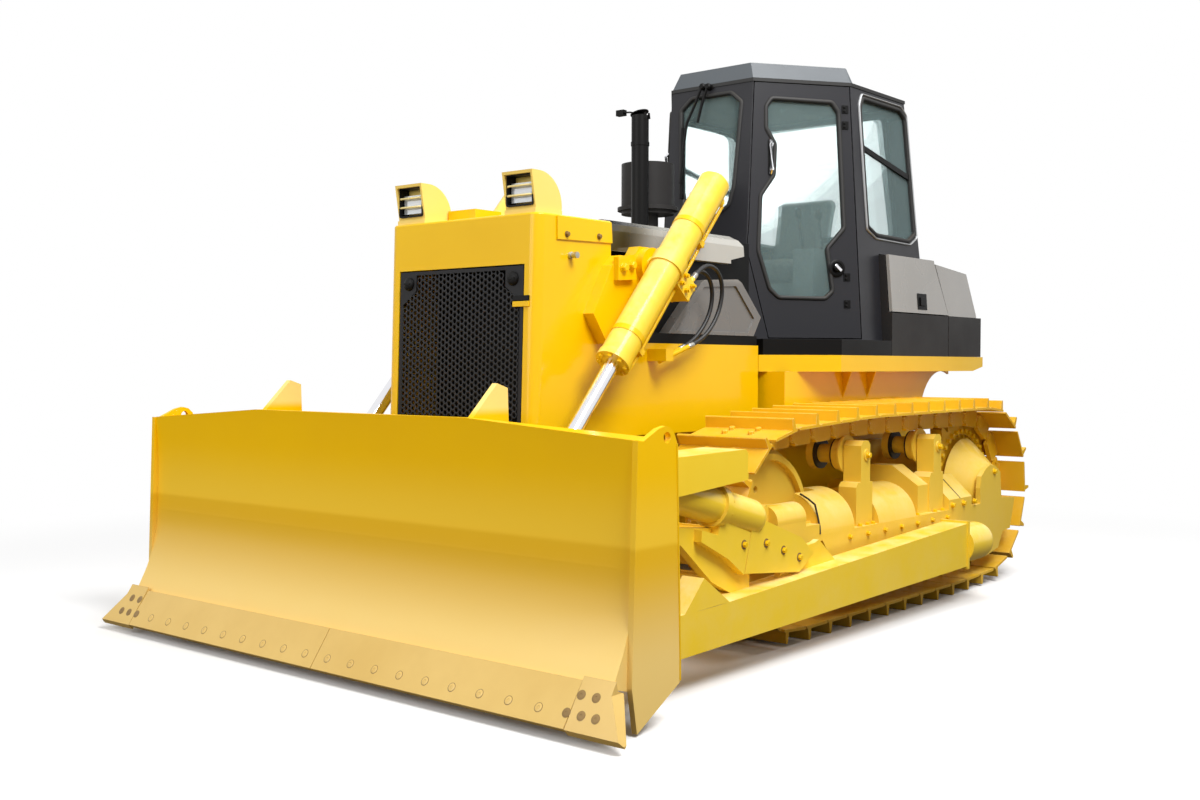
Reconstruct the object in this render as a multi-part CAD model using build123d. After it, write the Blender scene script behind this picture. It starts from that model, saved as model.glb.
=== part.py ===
from build123d import *
import os
from math import asin, atan2, cos, degrees, hypot, pi, radians, sin, tan

# Crawler dozer with a straight tilting blade and a closed cab.  Millimetres.
# x: the machine's left is plus.  y: a station counted back from the cutting edge.
# z: height above the grouser tips.  put() shifts every node to the middle of the overall length.
overall_length = 5140
blade_width = 3388
blade_height = 1128

# Tracks
track_gauge = 1880            # between the middles of the two chains
shoe_width = 510
shoe_count = 36
pitch = 203.2                 # one chain link, pin to pin
pin_height = 126              # pin above the grouser's tip
rail_depth = 48               # pin to the rail that rolls on the wheels
shoe_seat = 57                # pin to the link face that the shoe is bolted on
shoe_plate = 14
tooth_count = 27              # odd, so each bush meets every second valley
sprocket_at = (4284, 581)
sprocket_radius = pitch * tooth_count / 2 / (2 * pi)
idler_height = 548
idler_radius = idler_height - pin_height
rear_roller_at = 3790
front_roller_gap = 430        # idler axle to the first roller
roller_radius = 97
roller_count = 6
carrier_posts = ((2715, 870), (3571, 876))      # station, axle height
carrier_radius = 86

# Nose, hood and engine
nose_half = 496
nose_front, nose_foot = 887, 854      # the front's station at its top edge and at its foot
nose_top, nose_low = 2029, 995
nose_back = 1402
nose_corner = 48
side_back = 2696
side_top = 1450
wall = 20
core_half = 436              # black core of the hood, under its panels
grille_half = 420
grille_low = 1060
grille_high = 1797
hole_step, hole_row = 41, 24      # columns of holes, and the shift between neighbouring columns
hole_radius = 17.5

# Cab: a six-sided cabin, each side flat and leaning out towards the floor
cab_floor = 1490
cab_eaves = 2996
cab_wall = 45
cab_low = ((295, 2840), (738, 3440), (735, 4319))    # x, y of the front, side and rear corners
cab_high = ((291, 2948), (652, 3436), (652, 4113))
roof_top = 3100
niche_x, niche_front, niche_top = 590, 3692, 2014    # pocket in each lower rear side, for the side box
lid_hinge = (770, 2006)       # x, z of the side lid's hinge line
box_side = [(3697, 1400), (3697, 2030), (4302, 2030), (4316, 1978), (4470, 1664), (4470, 1400)]    # station, z

# Blade, arms and lift cylinders
pivot_at = (3700, 335)        # ball ends of the arms, which the blade swings about
pivot_radius = 50
ball_radius = 108
arm_inner, arm_outer = 1250, 1400
lift_x = 690
lift_trunnion = (1599, 1822)
lift_eye = (575, 669)
barrel_radius = 80
barrel_bore = 60
barrel_low, barrel_high = 634, 606    # the barrel's two ends, from its trunnion
rod_radius = 36
hose_radius = 11
drawbar_hole = 26


# ---------- helpers ----------

def put(node, *shapes):
    """Write one node, moved so that the machine's middle is over the origin."""
    solids = [solid for shape in shapes for solid in (Pos(0, -overall_length / 2, 0) * shape).solids()]
    export_step(solids[0] if len(solids) == 1 else Compound(solids), f"parts/{node}.step")


def face(outline):
    return make_face(Polyline(*outline, close=True))


def side_plate(outline, x0, x1):
    """A (y, z) outline, solid from x0 to x1."""
    return extrude(Pos(x0, 0, 0) * (Plane.YZ * face(outline)), amount=x1 - x0, dir=(1, 0, 0))


def front_plate(outline, y0, y1):
    """An (x, z) outline, solid from y0 to y1."""
    return extrude(Pos(0, y0, 0) * (Plane.XZ * face(outline)), amount=y1 - y0, dir=(0, 1, 0))


def deck_plate(outline, z0, z1):
    """An (x, y) outline, solid from z0 to z1."""
    return extrude(Pos(0, 0, z0) * face(outline), amount=z1 - z0, dir=(0, 0, 1))


def block(x0, x1, y0, y1, z0, z1):
    return Pos((x0 + x1) / 2, (y0 + y1) / 2, (z0 + z1) / 2) * Box(x1 - x0, y1 - y0, z1 - z0)


def shaft(start, end, radius):
    """A round bar from one point to another."""
    run = Vector(*end) - Vector(*start)
    return Plane(origin=start, z_dir=run) * Cylinder(radius, run.length, align=(Align.CENTER, Align.CENTER, Align.MIN))


def cross_shaft(at, x0, x1, radius):
    """A round bar across the machine, at a (y, z) place."""
    return shaft((x0, *at), (x1, *at), radius)


def both(shape):
    """A left-hand piece with its right-hand twin."""
    return [shape, mirror(shape, about=Plane.YZ)]


def arched(middle, half, low, spring, top, y0, y1):
    """A cover with straight sides and an arched top, seen along the machine."""
    left, right = (middle - half, spring), (middle + half, spring)
    arch = ThreePointArc(right, (middle, top), left)
    if spring == low:
        outline = Polyline(left, right) + arch
    else:
        outline = Polyline(left, (middle - half, low), (middle + half, low), right) + arch
    return extrude(Pos(0, y0, 0) * (Plane.XZ * make_face(outline.edges())), amount=y1 - y0, dir=(0, 1, 0))


def joined(shapes):
    first, *rest = shapes
    for shape in rest:
        first = first + shape
    return first


def mirrored(outline):
    """Both halves of an (x, y) outline given for x >= 0, front to back."""
    return [*outline, *[(-x, y) for x, y in reversed(outline)]]


# ---------- tracks ----------

def belt(circles):
    """Pitch line of a chain drawn tight round (y, z, radius) circles, as runs and arcs."""
    angles = []
    for (y0, z0, r0), (y1, z1, r1) in zip(circles, circles[1:] + circles[:1]):
        span = hypot(y1 - y0, z1 - z0)
        angles.append(atan2(z1 - z0, y1 - y0) + asin((r0 - r1) / span))
    pieces = []
    for index, (y, z, r) in enumerate(circles):
        turn = (angles[index] - angles[index - 1]) % (2 * pi)
        pieces.append(("arc", (y, z), r, angles[index - 1] - pi / 2, turn))
        y1, z1, r1 = circles[(index + 1) % len(circles)]
        normal = (sin(angles[index]), -cos(angles[index]))
        start = (y + r * normal[0], z + r * normal[1])
        end = (y1 + r1 * normal[0], z1 + r1 * normal[1])
        pieces.append(("run", start, end))
    return pieces


def piece_length(piece):
    if piece[0] == "arc":
        return piece[2] * piece[4]
    return hypot(piece[2][0] - piece[1][0], piece[2][1] - piece[1][1])


def point_along(pieces, distance):
    for piece in pieces:
        length = piece_length(piece)
        if distance <= length:
            share = distance / length
            if piece[0] == "arc":
                angle = piece[3] + share * piece[4]
                return (piece[1][0] + piece[2] * cos(angle), piece[1][1] + piece[2] * sin(angle))
            (y0, z0), (y1, z1) = piece[1:]
            return (y0 + share * (y1 - y0), z0 + share * (z1 - z0))
        distance -= length
    return point_along(pieces, distance)


def track_circles(idler_station):
    """What carries the chain, in its running order: idler, last roller, sprocket, carriers."""
    carriers = [(y, z, carrier_radius + rail_depth + 4) for y, z in reversed(carrier_posts)]
    last_roller = (rear_roller_at, pin_height + rail_depth + 100, rail_depth + 100)
    return [(idler_station, idler_height, idler_radius), last_roller, (*sprocket_at, sprocket_radius), *carriers]


def tight_idler():
    """The idler's station at which the loop holds a whole number of links, as its grease jack sets it."""
    near, far = 1800, 2200
    for _ in range(40):
        middle = (near + far) / 2
        loop = sum(piece_length(piece) for piece in belt(track_circles(middle)))
        near, far = (middle, far) if loop > shoe_count * pitch else (near, middle)
    return middle


idler_station = tight_idler()


def chain_pins():
    """Pins at equal steps, set so that the sprocket's valleys meet them."""
    pieces = belt(track_circles(idler_station))
    to_sprocket = sum(piece_length(piece) for piece in pieces[:4])
    phase = to_sprocket % pitch
    loop = shoe_count * pitch
    return [point_along(pieces, (phase + k * pitch) % loop) for k in range(shoe_count)]


def on_link(pin, next_pin, points):
    """Points given as (along, outwards) on one link, in the side view."""
    along = atan2(next_pin[1] - pin[1], next_pin[0] - pin[0])
    return [(pin[0] + t * cos(along) + n * sin(along), pin[1] + t * sin(along) - n * cos(along)) for t, n in points]


def make_track():
    """The left track: two rails of links, and a shoe with one grouser on each link."""
    plate = shoe_seat + shoe_plate
    shoe = ((2, shoe_seat + 4), (5, plate), (17, pin_height), (33, pin_height), (44, plate), (192, plate), (198, shoe_seat + 4))
    rail = ((0, -20), (18, -22), (30, -rail_depth), (174, -rail_depth), (186, -22))
    pins = chain_pins()
    links = list(zip(pins, pins[1:] + pins[:1]))
    shoe_line, rail_line, seat_line, joint_line = (
        face([p for link in links for p in on_link(*link, points)])
        for points in (shoe, rail, ((0, shoe_seat),), ((0, shoe_seat + 2),)))
    middle = track_gauge / 2
    half = shoe_width / 2
    shoes = extrude(Pos(middle - half, 0, 0) * (Plane.YZ * (shoe_line - seat_line)), amount=shoe_width, dir=(1, 0, 0))
    rails = [extrude(Pos(x, 0, 0) * (Plane.YZ * (joint_line - rail_line)), amount=32, dir=(1, 0, 0))
             for x in (middle - 92, middle + 60)]
    return shoes.fuse(*rails)


def make_sprocket():
    """Toothed rim with a dished web; odd teeth fill the gaps between the bushes."""
    y, z = sprocket_at
    tip, root = sprocket_radius + 26, sprocket_radius - 34
    step = 360 / tooth_count
    outline = []
    first = degrees(atan2(chain_pins()[0][1] - z, chain_pins()[0][0] - y))
    for tooth in range(tooth_count):
        middle = first + (tooth + 0.5) * step
        for turn, radius in ((-0.42, root), (-0.14, tip), (0.14, tip), (0.42, root)):
            angle = radians(middle + turn * step)
            outline.append((y + radius * cos(angle), z + radius * sin(angle)))
    middle = track_gauge / 2
    rim = side_plate(outline, middle - 38, middle + 38) - cross_shaft(sprocket_at, middle - 50, middle + 50, 330)
    web = cross_shaft(sprocket_at, middle - 20, middle + 20, 330.5) - cross_shaft(sprocket_at, middle - 30, middle + 30, 200)
    return rim + web


def make_final_drive():
    """Final drive case through the sprocket, with its cone-shaped outer cover."""
    middle = track_gauge / 2
    y, z = sprocket_at
    case = cross_shaft(sprocket_at, 380, middle - 100, 285)
    neck = cross_shaft(sprocket_at, middle - 100, middle + 60, 199)
    cover = Plane(origin=(middle + 60, y, z), z_dir=(1, 0, 0)) * Cone(305, 150, 165, align=(Align.CENTER, Align.CENTER, Align.MIN))
    return case + neck + cover


def make_idler():
    middle = track_gauge / 2
    at = (idler_station, idler_height)
    tread = idler_radius * cos(pi / 13.5) - rail_depth - 2
    rim = cross_shaft(at, middle - 92, middle + 92, tread)
    flange = cross_shaft(at, middle - 45, middle + 45, tread + 30)
    dish = cross_shaft(at, middle + 60, middle + 92, tread - 30)
    dish_in = cross_shaft(at, middle - 92, middle - 60, tread - 30)
    axle = cross_shaft(at, middle - 158, middle + 150, 70)
    holes = [cross_shaft((at[0] + 204 * cos(turn), at[1] + 204 * sin(turn)), middle - 93, middle + 93, 17)
             for turn in (radians(-8), radians(112), radians(232))]
    return (rim + flange - dish - dish_in + axle) - holes[0] - holes[1] - holes[2]


def make_track_frame():
    """Left track frame: box beam, recoil covers, idler fork, shelf with its skirt, final drive bracket and arm trunnion."""
    middle = track_gauge / 2
    edge = middle + shoe_width / 2
    low, high = 475, 505
    beam = block(middle - 130, middle + 130, 2420, 3800, 395, high)
    shelf = block(middle + 100, edge, 2182, 3992, low, high)
    skirt = side_plate([(2182, high), (3700, high), (3700, 230), (2400, 230), (2287, 383)], edge - 24, edge)
    inner_skirt = block(middle - 154, middle - 130, 2250, 3800, 215, high)
    housing = shaft((middle, 2480, 545), (middle, 3800, 545), 112)
    fork_side = [(1715, 540), (1715, 635), (1769, 683), (2073, 660), (2100, 577), (2245, 562), (2440, 562), (2440, low), (1780, low)]
    fork = [side_plate(fork_side, x, x + 46) for x in (middle - 204, middle + 158)]
    fork_tie = block(middle - 204, middle + 204, 2425, 2480, 440, 640)
    idler_cover = arched(edge - 76, 76, low, 585, 676, 1790, 2050) \
        - cross_shaft((idler_station, idler_height), middle, middle + 151, 70.05)
    guide = block(middle + 158, edge, 2050, 2182, low, 560)
    recoil = arched(990, edge - 990, high, high, 710, 2183, 2531) - block(600, middle + 106, 2182, 2385, 400, 800)
    second = arched(990, edge - 990, high, high, 690, 2796, 3230)
    chest = front_plate([(850, high), (850, 772), (990, 772), (1150, 664), (1150, high)], 3338, 3466)
    slope = front_plate([(1040, high), (1040, 690), (1060, 690), (edge, 562), (edge, high)], 3652, 3960)
    bracket = side_plate([(3548, 505), (4087, 505), (4084, 600), (4100, 670), (4160, 712), (4229, 735), (4310, 722), (4383, 682),
                          (4402, 522), (4611, 506), (4541, 317), (4430, 309), (4359, 212), (4182, 180), (3992, 173),
                          (3880, 230), (3548, 230)], edge - 30, edge)
    stub = block(middle + 130, edge, 3480, 3900, 232, low)
    trunnion = cross_shaft(pivot_at, edge, 1385, pivot_radius)
    return joined([beam, shelf, skirt, inner_skirt, housing, *fork, fork_tie, idler_cover, guide, recoil, second, chest, slope,
                   bracket, stub, trunnion])


def make_track_rollers():
    """Six double-flanged rollers under one track frame."""
    middle = track_gauge / 2
    z = pin_height + rail_depth + 100
    first = idler_station + front_roller_gap
    rollers = []
    for k in range(roller_count):
        at = (first + k * (rear_roller_at - first) / (roller_count - 1), z)
        body = cross_shaft(at, middle - 128, middle + 128, 70)
        treads = [cross_shaft(at, middle + x - 25, middle + x + 25, roller_radius) for x in (-78, 78)]
        flanges = [cross_shaft(at, middle + x - 8, middle + x + 8, roller_radius + 14) for x in (-112, 112)]
        rollers.append(joined([body, *treads, *flanges]))
    return rollers


def make_carriers():
    """Two double-flanged carrier rollers, with their stepped posts on the track frame's shelf."""
    middle = track_gauge / 2
    pieces = []
    for y, z in carrier_posts:
        at = (y, z)
        body = cross_shaft(at, middle - 92, middle + 116, 50)
        treads = [cross_shaft(at, middle + x - 20, middle + x + 20, carrier_radius) for x in (-76, 76)]
        flange = cross_shaft(at, middle + 97, middle + 109, carrier_radius + 14)
        post = side_plate([(y - 105, 505), (y - 105, 706), (y - 86, 728), (y - 55, 732), (y - 55, 920), (y - 30, 946), (y + 22, 946),
                           (y + 43, 925), (y + 43, 728), (y + 70, 728), (y + 70, 505)], middle + 116, middle + 220)
        pin = cross_shaft(at, middle + 220, middle + 228, 30)
        pieces.append(joined([body, *treads, flange, post, pin]))
    return pieces


# ---------- hull ----------

def make_main_frame():
    """Belly case between the tracks, with the cross bar and the pivot shaft that carry the track frames."""
    hull = side_plate([(1000, 620), (1180, 400), (4450, 400), (4780, 620), (4860, 1290), (2700, 1290), (2640, 990), (1000, 990)],
                      -370, 370)
    bar = block(-780, 780, 2060, 2160, 662, 772)
    return hull + bar + cross_shaft((3760, 560), -770, 770, 75)


def nose_station(z):
    """Station of the nose's leaning front at a height."""
    return nose_foot + (z - nose_low) * (nose_front - nose_foot) / (nose_top - nose_low)


def make_nose():
    """Guard round the radiator, with round front corners, and the lower side plates that run back to the cab."""
    outline = [(nose_foot, nose_low), (nose_front, nose_top), (nose_back, nose_top), (nose_back, nose_low)]
    shell = side_plate(outline, -nose_half, nose_half)
    corners = [edge for edge in shell.edges().filter_by(GeomType.LINE) if edge.center().Y < nose_front and edge.length > 900]
    shell = fillet(corners, nose_corner)
    shell = fillet(shell.edges().filter_by(lambda edge: edge.center().Z > nose_top - 1 and edge.center().Y < nose_back - 1), 12)
    hollow = side_plate([(nose_foot + wall, nose_low + wall), (nose_front + wall, nose_top - wall),
                         (nose_back + 1, nose_top - wall), (nose_back + 1, nose_low + wall)], -nose_half + wall, nose_half - wall)
    corners = [edge for edge in hollow.edges() if edge.center().Y < nose_front + wall and edge.length > 900]
    hollow = fillet(corners, nose_corner - wall)
    mouth = block(-grille_half, grille_half, nose_foot - 10, nose_front + wall, grille_low, grille_high)
    plates = both(side_plate([(nose_back, nose_low), (nose_back, side_top), (side_back, side_top), (side_back, nose_low)],
                             nose_half - wall, nose_half))
    cap = block(-265, -76, 1060, 1240, nose_top, nose_top + 70)
    return joined([shell - hollow - mouth, *plates, cap])


def make_hood():
    """Grey hood: a top panel that folds over its shoulders, and a framed lower panel on each side."""
    top = front_plate(mirrored([(nose_half, 1888), (nose_half, 1985), (484, 2018), (440, 2042)]), nose_back + 1, 2552)
    rear_cut = side_plate([(2425, 1880), (2425, 1908), (2552, 1934), (2545, 1990), (2490, 2036), (2490, 2100), (2600, 2100),
                           (2600, 1880)], -600, 600)
    under = block(-core_half, core_half, nose_back, 2600, 1800, 2016)
    frame = side_plate([(1862, 1502), (2150, 1772), (2180, 1788), (2490, 1806), (2530, 1790), (2722, 1607), (2650, 1502)],
                       core_half, nose_half)
    field = side_plate([(1925, 1520), (2175, 1752), (2475, 1770), (2655, 1600), (2600, 1520)], nose_half - 10, nose_half + 1)
    return [top - rear_cut - under, *both(frame - field)]


def make_hood_core():
    """Black inner hood over the engine, open in front and below, with its skirts and the cowl against the cab."""
    shell = block(-core_half, core_half, nose_back + 1, 2690, side_top + 1, 2016)
    hollow = block(-core_half + 16, core_half - 16, nose_back, 2691, side_top, 2000)
    skirts = both(block(core_half, nose_half - 6, nose_back + 1, 2690, side_top + 1, 1502))
    cowl = side_plate([(2690, 1560), (2842, 1560), (2872, 1990), (2690, 2016)], -270, 270)
    return joined([shell - hollow, *skirts, cowl, block(-core_half, core_half, 2674, 2690, 1500, 2016)])


def make_headlamps():
    """Two lamp cases on the nose, each leaning forward over its pocket, on a bolted foot."""
    pieces = []
    for x in (-366, 366):
        side = Polyline((1087, 2050), (912, 2050), (884, 2222), (935, 2222)) + ThreePointArc((935, 2222), (1042, 2178), (1087, 2050))
        case = extrude(Pos(x - 94, 0, 0) * (Plane.YZ * make_face(side.edges())), amount=188, dir=(1, 0, 0))
        pocket = side_plate([(880, 2066), (880, 2208), (962, 2208), (962, 2066)], x - 82, x + 82)
        foot = block(x - 97, x + 97, 905, 1087, nose_top, 2050)
        pieces.append(case - pocket + foot)
    return pieces


def make_lenses():
    return [block(x - 72, x + 72, 926, 962, 2082, 2172) for x in (-366, 366)]


# ---------- cab ----------

def cab_loft(inset, low, high):
    """The cabin's six-sided form between two heights, each wall moved in by inset."""
    def corners(z):
        share = (z - cab_floor) / (cab_eaves - cab_floor)
        half = [(a[0] + share * (b[0] - a[0]), a[1] + share * (b[1] - a[1])) for a, b in zip(cab_low, cab_high)]
        whole = face(mirrored(half))
        return Pos(0, 0, z) * (offset(whole, amount=-inset, kind=Kind.INTERSECTION) if inset else whole)
    return loft([corners(low), corners(high)], ruled=True)


door_plane = Plane(origin=(cab_high[0][0], cab_high[0][1], cab_eaves),
                   x_dir=(cab_high[1][0] - cab_high[0][0], cab_high[1][1] - cab_high[0][1], 0),
                   z_dir=(0.8039, -0.5947, 0.0443))
side_plane = Plane(origin=(cab_high[1][0], cab_high[1][1], cab_eaves), x_dir=(0, 1, 0), z_dir=(1, 0, 0.055))
front_plane = Plane(origin=(0, cab_high[0][1], cab_eaves), x_dir=(1, 0, 0),
                    z_dir=(0, -1, (cab_high[0][1] - cab_low[0][1]) / (cab_eaves - cab_floor)))
rear_plane = Plane(origin=(0, cab_high[2][1], cab_eaves), x_dir=(-1, 0, 0),
                   z_dir=(0, 1, (cab_low[2][1] - cab_high[2][1]) / (cab_eaves - cab_floor)))

# outlines on a wall: along it, and height above the ground
door_outline = ((8, 2978), (596, 2978), (655, 1500), (78, 1500), (-48, 2011), (-36, 2128))
door_pane = ((111, 2889), (487, 2883), (529, 2826), (556, 2144), (448, 2023), (480, 1775), (431, 1729),
             (140, 1732), (85, 1782), (19, 1999), (36, 2323), (120, 2442), (129, 2624), (75, 2713), (76, 2842))
side_pane = ((100, 2871), (135, 2935), (612, 2935), (680, 2890), (751, 2164), (660, 2118), (240, 2125), (135, 2169))
front_pane = ((-218, 2870), (-140, 2935), (140, 2935), (218, 2870), (190, 2380), (160, 2271), (60, 2205),
              (-60, 2205), (-160, 2271), (-190, 2380))
rear_pane = ((-480, 2880), (-440, 2920), (440, 2920), (480, 2880), (520, 2180), (480, 2140), (-480, 2140), (-520, 2180))


def on_wall(plane, outline, grow=0):
    """A flat outline on a cab wall, optionally grown."""
    shape = face([(along, z - cab_eaves) for along, z in outline])
    if grow:
        shape = offset(shape, amount=grow, kind=Kind.INTERSECTION)
    return plane * shape


def through_wall(plane, outline, grow=0, out=60, deep=120):
    shape = on_wall(plane, outline, grow)
    normal = plane.z_dir
    return extrude(Pos(*(normal * out)) * shape, amount=out + deep, dir=-normal)


def pane_in(plane, outline):
    """Glass 6 mm thick, let 12 mm into the wall and 1 mm clear of its opening."""
    normal = plane.z_dir
    return extrude(Pos(*(normal * -12)) * on_wall(plane, outline, -1), amount=6, dir=-normal)


def cab_walls():
    """Hollow cabin with a closed niche on each side, where the side boxes stand."""
    outer = cab_loft(0, cab_floor, cab_eaves)
    skins = both(block(niche_x - 25, 800, niche_front - 25, 4400, cab_floor, niche_top + 25))
    room = cab_loft(cab_wall, cab_floor + cab_wall, cab_eaves - cab_wall)
    niches = both(block(niche_x, 800, niche_front, 4400, cab_floor - 1, niche_top))
    return outer - (room - skins[0] - skins[1]) - niches[0] - niches[1]


def make_cab():
    """Doors, door panes, cab shell and the fixed glass."""
    walls = cab_walls()
    door_blank = through_wall(door_plane, door_outline)
    door_gap = through_wall(door_plane, door_outline, grow=6)
    door = (walls & door_blank) - through_wall(door_plane, door_pane)
    shell = walls - door_gap - mirror(door_gap, about=Plane.YZ)
    for plane, outline in ((side_plane, side_pane), (front_plane, front_pane), (rear_plane, rear_pane)):
        hole = through_wall(plane, outline)
        shell = shell - hole
        if plane is side_plane:
            shell = shell - mirror(hole, about=Plane.YZ)
    glass = [*both(pane_in(side_plane, side_pane)), pane_in(front_plane, front_pane), pane_in(rear_plane, rear_pane)]
    return door, pane_in(door_plane, door_pane), shell, glass


def make_roof():
    """Raised cap over the front half of the cab, and the flat roof behind it."""
    low = [cab_high[0], cab_high[1], (650, 3472)]
    high = [(252, 2980), (602, 3457), (600, 3472)]
    cap = loft([Pos(0, 0, cab_eaves + 1) * face(mirrored(low)), Pos(0, 0, roof_top) * face(mirrored(high))], ruled=True)
    return cap + block(-596, 596, 3472, 4060, cab_eaves + 1, cab_eaves + 22)


# ---------- deck and tanks ----------

def make_platforms():
    """Left fender beam beside the cab, with the panel and the cross plates that tie it to the hull."""
    deck = deck_plate([(nose_half + 2, 2700), (810, 3067), (810, 4988), (372, 4988), (372, 2700)], 1306, 1399)
    tail = side_plate([(4989, 1300), (4989, 1335), (4800, 1300)], 300, 900)
    panel = Polyline((4406, 1060), (2740, 1060), (2740, 1306), (4820, 1306), (4820, 1284)) \
        + ThreePointArc((4820, 1284), (4520, 1240), (4406, 1060))
    panel = extrude(Pos(628, 0, 0) * (Plane.YZ * make_face(panel.edges())), amount=14, dir=(1, 0, 0))
    ties = [front_plate([(370, 1306), (642, 1306), (642, 1080), (370, 1080)], y, y + 14) for y in (2740, 3560, 4360)]
    ribs = [front_plate([(642, 1306), (700, 1306), (642, 1150)], y, y + 14) for y in (3380, 3680)]
    return joined([deck - tail, panel, *ties, *ribs])


def make_deck_box():
    """Black base that the cab and the tanks stand on."""
    outline = [(nose_half + 2, 2744), (800, 3090), (800, 3690), (580, 3692), (580, 4320)]
    return deck_plate(mirrored(outline), 1400, cab_floor - 1)


def make_side_box():
    """Left box in the cab's niche, open on the outside behind its lid; its rear edge leans with the tank."""
    outline = [(595, 1400), (800, 1400), (800, 1658), (774, 1664), (747, 2008), (595, 2008)]
    box = front_plate(outline, 3697, 4470) & side_plate(box_side, 500, 900)
    box = box - block(500, 606, 3690, 4300, 1399, cab_floor + 1) - block(500, 700, 4290, 4480, 1399, 2100)
    return box - front_plate([(620, 1680), (900, 1680), (900, 1985), (620, 1985)], 3722, 4265)


def make_side_lid():
    """Sloping lid of the left side box, hinged along its top edge."""
    outline = [(800, 1666), (lid_hinge[0] + 3, lid_hinge[1] + 2), (lid_hinge[0] - 17, lid_hinge[1] + 2), (780, 1666)]
    return front_plate(outline, 3697, 4470) & side_plate(box_side, 500, 900)


def make_fuel_tank():
    """Grey tank behind the cab; its front leans along the side boxes and its back slopes."""
    outline = [(-798, 1661), (798, 1661), (773, 1990), (-773, 1990)]
    side = side_plate([(4326, 1986), (4787, 1948), (4900, 1684), (4905, 1661), (4480, 1661)], -900, 900)
    return front_plate(outline, 4300, 4967) & side


def make_tank_base():
    return block(-800, 800, 4479, 4975, 1400, 1660)


# ---------- blade ----------

def make_blade():
    """Curved face plate with its box-section back, end plates and spill ears."""
    front = Polyline((120, 190), (150, 250)) + ThreePointArc((150, 250), (212, 400), (238, 600)) \
        + ThreePointArc((238, 600), (246, 860), (228, blade_height))
    back = Polyline((228, blade_height), (262, blade_height), (455, 1050), (470, 260), (300, 140), (120, 190))
    profile = make_face([*front.edges(), *back.edges()])
    body = extrude(Pos(-1560, 0, 0) * (Plane.YZ * profile), amount=3120, dir=(1, 0, 0))
    end = side_plate([(199, 178), (229, 10), (489, 153), (488, 255), (464, 1055), (450, 1086), (425, 1109), (392, 1117),
                      (352, 1108), (262, 1066), (229, 1069)], 1560, 1584) - cross_shaft((403, 1074), 1559, 1585, 21)
    ear = side_plate([(245, 1100), (413, 1264), (474, 1244), (482, 1030)], 675, 705)
    corner_cut = both(front_plate([(700, 1300), (1600, 1300), (1600, 1067), (700, blade_height)], 100, 800))
    body = body - corner_cut[0] - corner_cut[1]
    return joined([body, *both(end), *both(ear)])


def make_cutting_edges():
    """Two bolted edges that meet in the middle."""
    outline = [(0, 52), (18, 37), (152, 178), (119, 189), (108, 207)]
    return both(side_plate(outline, 2, 1430))


def make_end_bits():
    outline = [(0, 50), (22, 25), (150, 175), (119, 189), (112, 222)]
    wide = side_plate(outline, 1434, blade_width / 2)
    corner = front_plate([(1584, 178), (blade_width / 2, 35), (1800, 35), (1800, 300), (1584, 300)], -10, 200)
    return both(wide - corner - block(1560, 1600, 175, 600, 0, 400))


def arm_top(y):
    """Height of the arm's sloping top behind its bend."""
    return 345 + (y - 1000) * 116 / 2440


def make_push_arm():
    """Left push arm: box beam from the blade's foot to an end plate, and the socket that closes round the ball."""
    beam = side_plate([(480, 160), (480, 338), (1000, 345), (3440, arm_top(3440)), (3440, 221), (900, 169)], arm_inner, arm_outer)
    plate = block(arm_inner - 10, arm_outer + 8, 3440, 3458, 208, 474)
    x = (arm_inner + arm_outer) / 2
    socket = shaft((x, 3458, pivot_at[1]), (x, *pivot_at), ball_radius) + Pos(x, *pivot_at) * Sphere(ball_radius)
    hole = cross_shaft(pivot_at, x - ball_radius - 1, 1390, pivot_radius + 0.06)
    gusset = side_plate([(770, 341), (905, 472), (1090, arm_top(1090))], 1290, arm_outer)
    return joined([beam, plate, socket, gusset]) - hole


def make_tilt_set():
    """Left tilt cylinder under its guard, from the blade's corner to the lug plates on the arm."""
    guard = side_plate([(472, 800), (472, 970), (1208, 984), (1228, 964), (1228, 853), (724, 817)], 1180, 1400)
    guard = guard - side_plate([(480, 760), (480, 954), (1212, 966), (1212, 820)], 1196, 1384)
    nose, tail = Vector(1290, 560, 890), Vector(1290, 1395, 672)
    run = (tail - nose).normalized()
    barrel = shaft(nose, tail, 80) + Pos(tail) * Sphere(80)
    flange = shaft(nose + run * 560, nose + run * 600, 96)
    strut = side_plate([(600, 640), (600, 700), (1046, 655), (1240, 640), (1400, 600), (1390, arm_top(1390)), (1240, arm_top(1240)),
                        (1100, 420), (878, 600)], 1255, 1300)
    lug = side_plate([(973, 656), (1091, 624), (1112, 685), (1341, 612), (1288, 433), (1166, 515), (969, 607)], 1300, 1340)
    wedge = side_plate([(1347, 612), (1352, 655), (1395, 674), (1763, 549), (1880, 462), (1748, 390), (1296, 436)], 1258, 1340)
    foot = side_plate([(1700, 480), (1956, 500), (1992, 511), (2144, arm_top(2144)), (1640, arm_top(1640))], 1270, 1300)
    return joined([guard, barrel, flange, strut, lug, wedge, foot])


# ---------- lift cylinders ----------

lift_length = hypot(lift_trunnion[0] - lift_eye[0], lift_trunnion[1] - lift_eye[1])
lift_up = Vector(0, (lift_trunnion[0] - lift_eye[0]) / lift_length, (lift_trunnion[1] - lift_eye[1]) / lift_length)
lift_side = Vector(0, lift_up.Z, -lift_up.Y)     # square to the cylinder, to the rear and down
lift_centre = Vector(lift_x, *lift_trunnion)


def lift_bar(low, high, radius):
    """Round bar on the lift cylinder's axis, between two distances above its trunnion."""
    return shaft(lift_centre + lift_up * low, lift_centre + lift_up * high, radius)


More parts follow.
